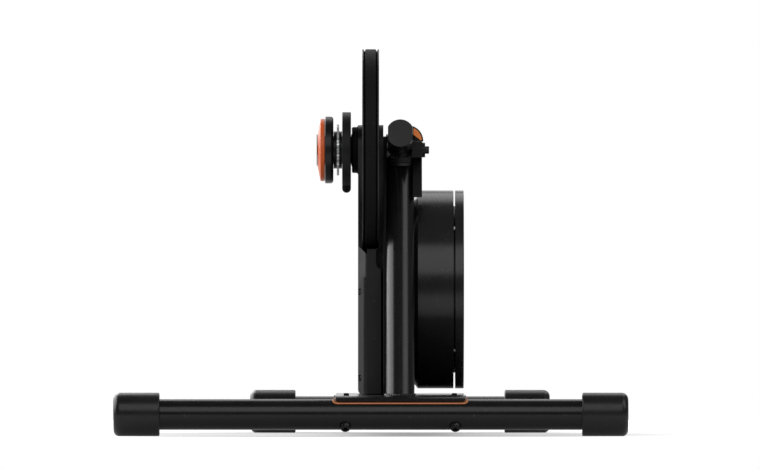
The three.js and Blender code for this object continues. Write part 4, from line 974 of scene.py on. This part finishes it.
# Freehub side, outward from the casing
FREEHUB_RADIUS = 17.2
FREEHUB_WALL = 4
FREEHUB_FIT = FREEHUB_RADIUS + SEAM  # bore of what sits on the freehub
BEARING_COVER_FILLET = 2
BEARING_COVER_ROOM = 0.6
BEARING_COVER_FLARE = 2.4  # radius of the fillet where it meets the casing
GUARD_EASE_ANGLE = 60
LUG_WIDTH = 18
LUG_REACH = 53.3
GUARD_HOLE_RADIUS = 1.6
GUARD_HOLE_REACH = 49
BARREL_GROOVES = 5
BARREL_GROOVE = 0.3
COG_TEETH = 14
CHAIN_PITCH = 12.7
CHAIN_ROLLER = 3.9
COG_TOOTH_SHARES = (0.16, 0.3, 0.43)  # of a tooth's pitch, where its foot, flank and tip start
OUTER_GUARD_FILLET = 3.5
DIAL_RIM = 5.3  # width of the dial's rim
DIAL_TOP_RADIUS = 19.8
DIAL_EDGE = 0.8
DIAL_TICKS = 9
TICK_ANGLES = (-30, 90)  # degrees, from the first to the last
TICK_WIDTH = 1
TICK_DEPTH = 0.5
TICK_SHARES = (0.45, 0.65)  # of the dial's cone, where long and short ticks start in turn
TICK_END_SHARE = 0.92


def make_freehub():
    low, high, _, radius = round_box("freehub_body")
    bore, barrel = FREEHUB_RADIUS - FREEHUB_WALL, FREEHUB_RADIUS
    from_x, to_x = round_box("inner_guard")[1] + SEAM, round_box("bearing_cover")[1]
    lathe("freehub", "freehub_body", [
        (low, bore), (low, barrel, SOFT_EDGE), (from_x, barrel), (from_x, radius, SOFT_EDGE),
        (to_x, radius), (to_x, barrel), (high, barrel), (high, bore)])


def make_bearing_cover():
    low, _, _, radius = round_box("bearing_cover")
    bore = radius_of("freehub_body") + BEARING_COVER_ROOM
    flare = (casing_low.x - BEARING_COVER_FLARE, radius + BEARING_COVER_FLARE)
    lathe("bearing_ring", "bearing_cover", [
        (low, bore), (low, radius, BEARING_COVER_FILLET), *arc(flare, BEARING_COVER_FLARE, 270, 360),
        (casing_low.x, bore)], look="matte_black")


def make_inner_guard():
    low, high = corners("inner_guard")
    y, z = axle_centre
    tip, middle_x = (high.x - low.x) / 2, (low.x + high.x) / 2
    guard = turned("chain_guard", ring(low.x, high.x, 0, high.z - z, SOFT_EDGE), axle_centre)
    outline = [(high.x, z), (low.x, z), *arc((middle_x, z - LUG_REACH + tip), tip, 180, 360, SMALL)]
    combined(guard, "UNION", prism("guard_lug", outline, y - LUG_WIDTH / 2, y + LUG_WIDTH / 2, "Y"))
    hole_outline = circle((middle_x, z - GUARD_HOLE_REACH), GUARD_HOLE_RADIUS)
    hole = prism("guard_hole", hole_outline, y - LUG_WIDTH, y, "Y")
    through = turned("guard_bore", ring(low.x - RUN, high.x + RUN, 0, FREEHUB_FIT), axle_centre)
    combined(guard, "DIFFERENCE", hole, through)
    stand_for(eased(guard, SOFT_EDGE / 2, GUARD_EASE_ANGLE), "inner_guard", "soft_black")


def make_cog_carrier():
    low, high, _, radius = round_box("cog_carrier")
    pitch = (high - low) / (BARREL_GROOVES + 1)
    places = [low + (at + 1) * pitch for at in range(BARREL_GROOVES)]
    lathe("cog_barrel", "cog_carrier", [
        (low, FREEHUB_FIT), (low, radius), *grooves(places, radius, BARREL_GROOVE), (high, radius),
        (high, FREEHUB_FIT)])


def make_cog():
    low, high, centre, radius = round_box("cog")
    pitch_radius = CHAIN_PITCH / 2 / sin(pi / COG_TEETH)
    flank = list(zip(COG_TOOTH_SHARES, (pitch_radius - CHAIN_ROLLER, pitch_radius, radius)))
    outline = []
    for tooth in range(COG_TEETH):
        for share, size in flank + [(1 - share, size) for share, size in reversed(flank)]:
            angle = TURN * (tooth + share) / COG_TEETH
            outline.append((centre[0] + size * cos(angle), centre[1] + size * sin(angle)))
    bore = circle(centre, radius_of("cog_carrier") - BARREL_GROOVE, MEDIUM)
    stand_for(eased(prism("sprocket", outline, low, high, holes=[bore]), EDGE, STEEP_ANGLE), "cog")


def make_outer_guard():
    low, high, _, radius = round_box("outer_guard")
    lathe("outer_chain_guard", "outer_guard", [
        (low, FREEHUB_FIT), (low, radius, SOFT_EDGE), (high, radius, OUTER_GUARD_FILLET),
        (high, FREEHUB_FIT)])


def make_dial():
    low, high, centre, radius = round_box("chain_line_dial")
    rim_x, cone = high - DIAL_RIM, radius - DIAL_TOP_RADIUS
    marks = []
    for at, way in enumerate(arc((0, 0), 1, *TICK_ANGLES, DIAL_TICKS - 1)):
        out = Vector(way)
        across = Vector((-out.y, out.x)) * TICK_WIDTH / 2
        rings = []
        for share in (TICK_SHARES[at % 2], TICK_END_SHARE):
            floor = low + (rim_x - low) * share + TICK_DEPTH
            point = Vector(centre) + out * (DIAL_TOP_RADIUS + cone * share)
            first, last = point - across, point + across
            rings.append([Vector((x, *place)) for x, place in (
                (low - RUN, first), (low - RUN, last), (floor, last), (floor, first))])
        marks.append(lofted(f"dial_tick_{at}", rings))
    lathe("dial", "chain_line_dial", [
        (low, FREEHUB_FIT), (low, DIAL_TOP_RADIUS, DIAL_EDGE), (rim_x, radius, DIAL_EDGE),
        (high, radius, DIAL_EDGE), (high, FREEHUB_FIT)], LARGE, cuts=marks)


# Flywheel side, and the two adapters that the bike stands on
ROTOR_RIM_WALL = 8
ROTOR_WEB = 5
ROTOR_CHAMFER = (4.5, 5.4)  # along the shaft and inward
ROTOR_HUB = (20, 8)  # its radius and length
DISC_RECESS = (30, 6)  # its radius and depth
DISC_GROOVE_RADIUS = 96
DISC_GROOVE = 1.2
DISC_WELL_RADIUS = 5.6
DISC_WELL_DEPTH = 3.4
DISC_BOLT = (4.8, 2.8, 2.2)
SHAFT_HOLE = 8.8
TURNED_EDGE = 0.15
LEFT_NUB = (4.7, 4.9)  # its radius and length
SKEWER_BORE = 3.3
MAIN_AXLE_BORE = 6.2
DRIVE_FLANGE = 0.9
SLIT_BOLTS = 4
SLIT_BOLT_ANGLES = (45, 315)
SLIT_BOLT_REACH = 107
SLIT_BOLT_RADIUS = 2.6
NUT_SIDES = 6


def make_rotor():
    low, high, _, radius = round_box("flywheel_rotor")
    along, inward = ROTOR_CHAMFER
    hub, length = ROTOR_HUB
    web, rim = high - ROTOR_WEB, radius - ROTOR_RIM_WALL
    lathe("rotor", "flywheel_rotor", [
        (low, rim, TURNED_EDGE), (low, radius - inward, TURNED_EDGE), (low + along, radius, TURNED_EDGE),
        (high, radius, TURNED_EDGE), (high, SHAFT_HOLE), (high - length, SHAFT_HOLE), (high - length, hub),
        (web, hub), (web, rim)], LARGE)


def slit_bolt_places():
    """Where the bolts stand that hold the outer disc to the rotor."""
    return arc(round_box("flywheel_disc")[2], SLIT_BOLT_REACH, *SLIT_BOLT_ANGLES, SLIT_BOLTS - 1)


def make_outer_disc():
    low, high, _, radius = round_box("flywheel_disc")
    recess, depth = DISC_RECESS
    groove, groove_radius = DISC_GROOVE, DISC_GROOVE_RADIUS
    floor, places = high - DISC_WELL_DEPTH, slit_bolt_places()
    lathe("outer_disc", "flywheel_disc", [
        (low, SHAFT_HOLE), (low, radius, TURNED_EDGE), (high, radius, SOFT_EDGE),
        (high, groove_radius + groove), (high - groove, groove_radius), (high, groove_radius - groove),
        (high, recess, TURNED_EDGE), (high - depth, recess - TURNED_EDGE), (high - depth, SHAFT_HOLE)],
        LARGE, cuts=pegs("disc_well", places, DISC_WELL_RADIUS, floor, high + RUN))
    add_screws("disc_bolt", DISC_BOLT, floor, 1, places, "flywheel_disc")


def make_slit_disc():
    lathe_ring("spacer_disc", "slit_disc", SHAFT_HOLE, steps=LARGE)
    from_x, to_x = round_box("flywheel_rotor")[1], round_box("flywheel_disc")[0]
    for bolt in pegs("slit_bolt", slit_bolt_places(), SLIT_BOLT_RADIUS, from_x, to_x):
        fit(bolt, "slit_disc", "bare_steel")


def make_shaft_end():
    lathe_ring("shaft", "flywheel_shaft", 0, TURNED_EDGE)
    _, _, centre, bore = round_box("flywheel_shaft")
    low, high, _, radius = round_box("shaft_nut")
    nut = prism("nut", circle(centre, radius, NUT_SIDES), low, high, holes=[circle(centre, bore, MEDIUM)])
    stand_for(eased(nut, TURNED_EDGE), "shaft_nut")


def make_left_adapter():
    _, high, _, radius = round_box("left_side_adapter")
    nub, reach = LEFT_NUB
    seat, face = axle_high + SEAM, high - reach
    lathe("left_adapter", "left_side_adapter", [
        (seat, SKEWER_BORE), (seat, radius), (face, radius, TURNED_EDGE), (face, nub),
        (high, nub, TURNED_EDGE), (high, SKEWER_BORE)])


def make_drive_adapter():
    low, high, _, radius = round_box("drive_side_adapter")
    seat, spigot = low + DRIVE_FLANGE, MAIN_AXLE_BORE - SEAM
    lathe("drive_adapter", "drive_side_adapter", [
        (low, SKEWER_BORE), (low, radius), (seat, radius), (seat, spigot), (high, spigot),
        (high, SKEWER_BORE)])


# Belt drive, axle and bearings
BEARINGS = ("pulley_bearing", "freehub_bearing", "flywheel_bearing_inner", "flywheel_bearing_outer")
RACE_SHARE = 0.3  # of the room between a bearing's bore and its outside
SHIELD_DEPTH = 0.7
PULLEY_HUB_RADIUS = 22
PULLEY_WEB_HALF = 2.5
PULLEY_RIM_WALL = 8
PULLEY_SIDE_ROOM = 0.6
PULLEY_FLANGE = (1.2, 2.2)  # its thickness and how far it stands up
PULLEY_WINDOWS = 6
WINDOW_RADIUS = 15
BELT_RIBS = 6
RIB_DEPTH = 0.9
BELT_THICKNESS = 2.5
ARM_BACK = 18  # from the idler to the pivot
ARM_DOWN = 35
ARM_END_RADIUS = 9
ARM_THICKNESS = 3.5
ARM_PIN_RADIUS = 4
ARM_PIVOT_RADIUS = 6


def make_bearing(node):
    """A sealed ball bearing: two races and a shield set in between them."""
    low, high, _, radius = round_box(node)
    race = (radius - SHAFT_HOLE) * RACE_SHARE
    profile = []
    for face, depth, first, last, way in ((low, SHIELD_DEPTH, SHAFT_HOLE, radius, race),
                                          (high, -SHIELD_DEPTH, radius, SHAFT_HOLE, -race)):
        profile += [(face, first), (face, first + way), (face + depth, first + way),
                    (face + depth, last - way), (face, last - way), (face, last)]
    lathe(f"{node}_races", node, profile)


def make_large_pulley():
    low, high, centre, radius = round_box("large_pulley")
    bearing_x, _, _, bearing_radius = round_box("pulley_bearing")
    seat, seat_x = bearing_radius + SEAM, bearing_x - SEAM
    room, hub = FREEHUB_RADIUS + BEARING_COVER_ROOM, PULLEY_HUB_RADIUS
    web, rim = PULLEY_WEB_HALF, round_box("drive_belt")[1] + PULLEY_SIDE_ROOM
    rim_bore = radius - PULLEY_RIM_WALL
    places = circle(centre, (hub + rim_bore) / 2, PULLEY_WINDOWS)
    lathe("belt_wheel", "large_pulley", [
        (low, room), (low, hub), (-web, hub), (-web, rim_bore), (-rim, rim_bore),
        *ridged((-rim, radius), (rim, radius), (0, -RIB_DEPTH), BELT_RIBS), (rim, rim_bore),
        (web, rim_bore), (web, hub), (high, hub), (high, seat), (seat_x, seat), (seat_x, room)],
        LARGE, cuts=pegs("pulley_window", places, WINDOW_RADIUS, -rim, rim))


def make_small_pulley():
    low, high, _, radius = round_box("small_pulley")
    thickness, height = PULLEY_FLANGE
    from_x, to_x, bottom = low + thickness, high - thickness, radius - height
    lathe("belt_pinion", "small_pulley", [
        (low, SHAFT_HOLE), (low, radius), (from_x, radius),
        *ridged((from_x, bottom), (to_x, bottom), (0, -RIB_DEPTH), BELT_RIBS), (to_x, radius),
        (high, radius), (high, SHAFT_HOLE)])


def make_belt():
    low_x, high_x, _, _ = round_box("drive_belt")
    _, _, large_centre, large_radius = round_box("large_pulley")
    _, _, small_centre, small_radius = round_box("small_pulley")
    large, small = large_radius + SEAM, small_radius - PULLEY_FLANGE[1] + SEAM
    drop = Vector(small_centre) - Vector(large_centre)
    heading, wrap = atan2(drop.y, drop.x), acos((large - small) / drop.length)
    low, high = degrees(heading - wrap), degrees(heading + wrap)
    section = [(low_x, BELT_THICKNESS), (high_x, BELT_THICKNESS),
               *ridged((high_x, 0), (low_x, 0), (0, RIB_DEPTH), BELT_RIBS)]
    rings = []
    for (y, z), radius, *angles in ((large_centre, large, high, low + 360, LARGE),
                                    (small_centre, small, low, high, SMALL)):
        for along, up in arc((0, 0), 1, *angles):
            rings.append([Vector((x, y + along * (radius + out), z + up * (radius + out)))
                          for x, out in section])
    stand_for(lofted("ribbed_belt", rings, closed=True), "drive_belt")


def make_idler():
    low, high, centre, _ = round_box("idler_pulley")
    lathe_ring("belt_idler", "idler_pulley", ARM_PIN_RADIUS + SEAM, EDGE)
    from_x = high + PULLEY_SIDE_ROOM + SEAM
    to_x = from_x + ARM_THICKNESS
    middle_x = (from_x + to_x) / 2
    pivot = (centre[0] + ARM_BACK, centre[1] - ARM_DOWN)
    tilt = degrees(atan2(-ARM_DOWN, ARM_BACK))
    outline = [point for place, angle in ((centre, tilt + 90), (pivot, tilt - 90))
               for point in arc(place, ARM_END_RADIUS, angle, angle + 180, SMALL)]
    arm = prism("idler_arm", outline, from_x, to_x)
    pin = prism("idler_pin", circle(centre, ARM_PIN_RADIUS), low, middle_x)
    post = prism("idler_pivot", circle(pivot, ARM_PIVOT_RADIUS), middle_x, corners("tensioner_arm")[1].x)
    combined(arm, "UNION", pin, post)
    stand_for(eased(arm, EDGE), "tensioner_arm")


# Brake: the fixed core and coil that the rotor turns round, on the flywheel's bearing housing
HOUSING_RADIUS = 24
HOUSING_FLANGE = 6
HOUSING_BOLTS = 6
HOUSING_BOLT_REACH = 33
HOUSING_BOLT = (4, 3.2, 2)
CORE_RADIUS = 64
POLE_THICKNESS = 10
POLE_SLOTS = 12
POLE_SLOT_WIDTH = 8
POLE_SLOT_LAP = 5
POLE_EDGE = 0.6
COIL_BORE = 38
COIL_RADIUS = 60
COIL_TURNS = 12
COIL_TURN_DEPTH = 0.45


def make_housing():
    low, high, centre, radius = round_box("flywheel_housing")
    bore, body = radius_of("flywheel_bearing_outer") + SEAM, HOUSING_RADIUS
    flange = corners("frame_plate")[1].x + SEAM
    face = flange + HOUSING_FLANGE
    lathe("bearing_housing", "flywheel_housing", [
        (low, bore), (low, body), (flange, body), (flange, radius), (face, radius, EDGE),
        (face, body, EDGE), (high, body, EDGE), (high, bore)])
    places = circle(centre, HOUSING_BOLT_REACH, HOUSING_BOLTS)
    add_screws("housing_bolt", HOUSING_BOLT, face, 1, places, "flywheel_housing")


def make_brake():
    low, high, centre, radius = round_box("brake_stator")
    coil_low, coil_high, _, _ = round_box("brake_coil")
    pole_x, bore = high - POLE_THICKNESS, HOUSING_RADIUS + SEAM
    room = ring(coil_low - SEAM, coil_high + SEAM, COIL_BORE, COIL_RADIUS)
    tools = [turned("coil_room", room, centre, LARGE)]
    for at, way in enumerate(circle((0, 0), 1, POLE_SLOTS)):
        out = Vector(way)
        across = Vector((-out.y, out.x)) * POLE_SLOT_WIDTH / 2
        inner, outer = out * (COIL_RADIUS - POLE_SLOT_LAP), out * (radius + RUN)
        slot = [tuple(Vector(centre) + point)
                for point in (inner - across, outer - across, outer + across, inner + across)]
        tools.append(prism(f"pole_slot_{at}", slot, pole_x, high + RUN))
    lathe("brake_core", "brake_stator", [
        (low, bore), (low, CORE_RADIUS, POLE_EDGE), (pole_x, CORE_RADIUS), (pole_x, radius, POLE_EDGE),
        (high, radius, POLE_EDGE), (high, bore)], LARGE, cuts=tools)
    inner, outer, turn = COIL_BORE + SEAM, COIL_RADIUS - SEAM, COIL_TURN_DEPTH
    lathe("winding", "brake_coil", [
        *ridged((coil_low, inner), (coil_low, outer), (turn, 0), COIL_TURNS),
        *ridged((coil_high, outer), (coil_high, inner), (-turn, 0), COIL_TURNS)], LARGE)


# Electronics on the frame plate's left face
BOX_WALL = 2
BOX_CORNER = 5
BOX_VENTS = 5
VENT_PITCH = 6
VENT_LENGTH = 30
VENT_HALF = 1.2
VENT_DROP = 20  # from the box's top to the first vent
BOX_SCREW = (2.6, 1.6, 1.2)
BOX_SCREW_SINK = 0.8
BOX_SCREW_INSET = 6
INLET_RADIUS = 5.2
INLET_FLANGE = 1.5
INLET_BORE = 3
INLET_BORE_DEPTH = 10
INLET_PIN_RADIUS = 1
LIGHT_RADIUS = 2.2
LIGHT_RIM = 0.3
LIGHT_STEPS = 8
POST_HEIGHT = 5
BOARD_THICKNESS = 1.6
POST_RADIUS = 3
POST_INSET = 6
POST_SHOW = 0.3  # above the board
BOARD_CORNER = 0.6
CHIP_SHARES = [(0.5, 0.38), (0.5, 0.66)]  # of the board's length and height
CHIP_HALF = 4.5
CAN_SHARES = [(0.2, 0.5), (0.8, 0.5), (0.8, 0.72)]
CAN_RADII = (2.6, 2.6, 2)


def framed(low, high, inset, corner):
    """A box's side view, drawn in by an inset."""
    return oblong((low.y + inset, low.z + inset), (high.y - inset, high.z - inset), corner)


def four_corners(low, high, inset):
    return [(y, z) for y in (low.y + inset, high.y - inset) for z in (low.z + inset, high.z - inset)]


def make_box():
    low, high = corners("electronics_cover")
    cover = prism("box", framed(low, high, 0, BOX_CORNER), low.x, high.x)
    inside = high.x - BOX_WALL
    tools = [prism("box_room", framed(low, high, BOX_WALL, BOX_CORNER - BOX_WALL), low.x - RUN, inside)]
    for node, size in (("power_inlet", INLET_RADIUS), ("status_light", LIGHT_RADIUS)):
        tools.append(prism(f"{node}_hole", circle(middle(node).xz, size + SEAM),
                           high.y - BOX_WALL - RUN, high.y + RUN, "Y"))
    middle_y, half = (low.y + high.y) / 2, VENT_LENGTH / 2
    for at in range(BOX_VENTS):
        z = high.z - VENT_DROP - at * VENT_PITCH
        vent = [point for y, angle in ((middle_y - half, 90), (middle_y + half, -90))
                for point in arc((y, z), VENT_HALF, angle, angle + 180)]
        tools.append(prism(f"box_vent_{at}", vent, inside - RUN, high.x + RUN))
    combined(cover, "DIFFERENCE", *tools)
    stand_for(eased(cover, EDGE), "electronics_cover")
    places = four_corners(low, high, BOX_SCREW_INSET)
    add_screws("box_screw", BOX_SCREW, high.x - BOX_SCREW_SINK, 1, places, "electronics_cover")


def make_box_fittings():
    low, high = corners("power_inlet")
    flange = (high.z - low.z) / 2
    seat, deep = high.y - INLET_FLANGE, high.y - INLET_BORE_DEPTH
    inlet = turned("inlet", [
        (low.y, 0), (low.y, INLET_RADIUS), (seat, INLET_RADIUS), (seat, flange), (high.y, flange, EDGE),
        (high.y, INLET_BORE, FINE_EDGE), (deep, INLET_BORE), (deep, INLET_PIN_RADIUS),
        (seat, INLET_PIN_RADIUS), (seat, 0)], middle("power_inlet").xz, SMALL, "Y")
    stand_for(inlet, "power_inlet")
    low, high = corners("status_light")
    rim, seat = (high.z - low.z) / 2, corners("electronics_cover")[1].y + LIGHT_RIM
    dome = [(seat + (high.y - seat) * up, rim * out) for out, up in arc((0, 0), 1, 0, 90, LIGHT_STEPS)[:-1]]
    lens = turned("light", [(low.y, 0), (low.y, LIGHT_RADIUS), (seat, LIGHT_RADIUS), *dome, (high.y, 0)],
                  middle("status_light").xz, SMALL, "Y")
    stand_for(lens, "status_light")


def make_board():
    low, high = corners("control_board")
    from_x = low.x + POST_HEIGHT
    to_x = from_x + BOARD_THICKNESS
    board = prism("board", framed(low, high, 0, BOARD_CORNER), from_x, to_x)
    posts = pegs("board_post", four_corners(low, high, POST_INSET), POST_RADIUS, low.x, to_x + POST_SHOW)
    combined(board, "UNION", *posts)
    stand_for(board, "control_board")
    length, height, half = high.y - low.y, high.z - low.z, CHIP_HALF
    for at, (along, up) in enumerate(CHIP_SHARES):
        y, z = low.y + length * along, low.z + height * up
        chip = prism(f"chip_{at}", oblong((y - half, z - half), (y + half, z + half)), to_x, high.x)
        fit(eased(chip, FINE_EDGE), "control_board", "moulded_black")
    for at, ((along, up), radius) in enumerate(zip(CAN_SHARES, CAN_RADII)):
        centre = (low.y + length * along, low.z + height * up)
        profile = [(to_x, 0), (to_x, radius), (high.x, radius, FINE_EDGE), (high.x, 0)]
        fit(turned(f"capacitor_{at}", profile, centre, SMALL), "control_board", "bare_aluminium")


make_camera()
make_world()
make_floor()
for panel_name, panel in PANELS.items():
    make_panel(panel_name, *panel)

make_stand()
make_upright()
make_frame_plate()
lathe_ring("head", "axle_head", radius_of("main_axle") + SEAM, SOFT_EDGE)
make_handle()
make_bracket()
make_pod()
make_cover()
make_casing()
make_freehub()
make_bearing_cover()
make_inner_guard()
make_cog_carrier()
make_cog()
make_outer_guard()
make_dial()
make_rotor()
make_outer_disc()
make_slit_disc()
make_shaft_end()
make_left_adapter()
make_drive_adapter()
lathe_ring("axle", "main_axle", MAIN_AXLE_BORE, EDGE)
lathe_ring("spacer", "axle_spacer", SHAFT_HOLE, EDGE)
for bearing in BEARINGS:
    make_bearing(bearing)
make_large_pulley()
make_small_pulley()
make_belt()
make_idler()
make_housing()
make_brake()
make_box()
make_box_fittings()
make_board()

for node, obj in nodes.items():
    obj.data.materials.clear()
    obj.data.materials.append(materials[slot_of[node]])

scene = bpy.context.scene
scene.view_settings.view_transform = "Standard"
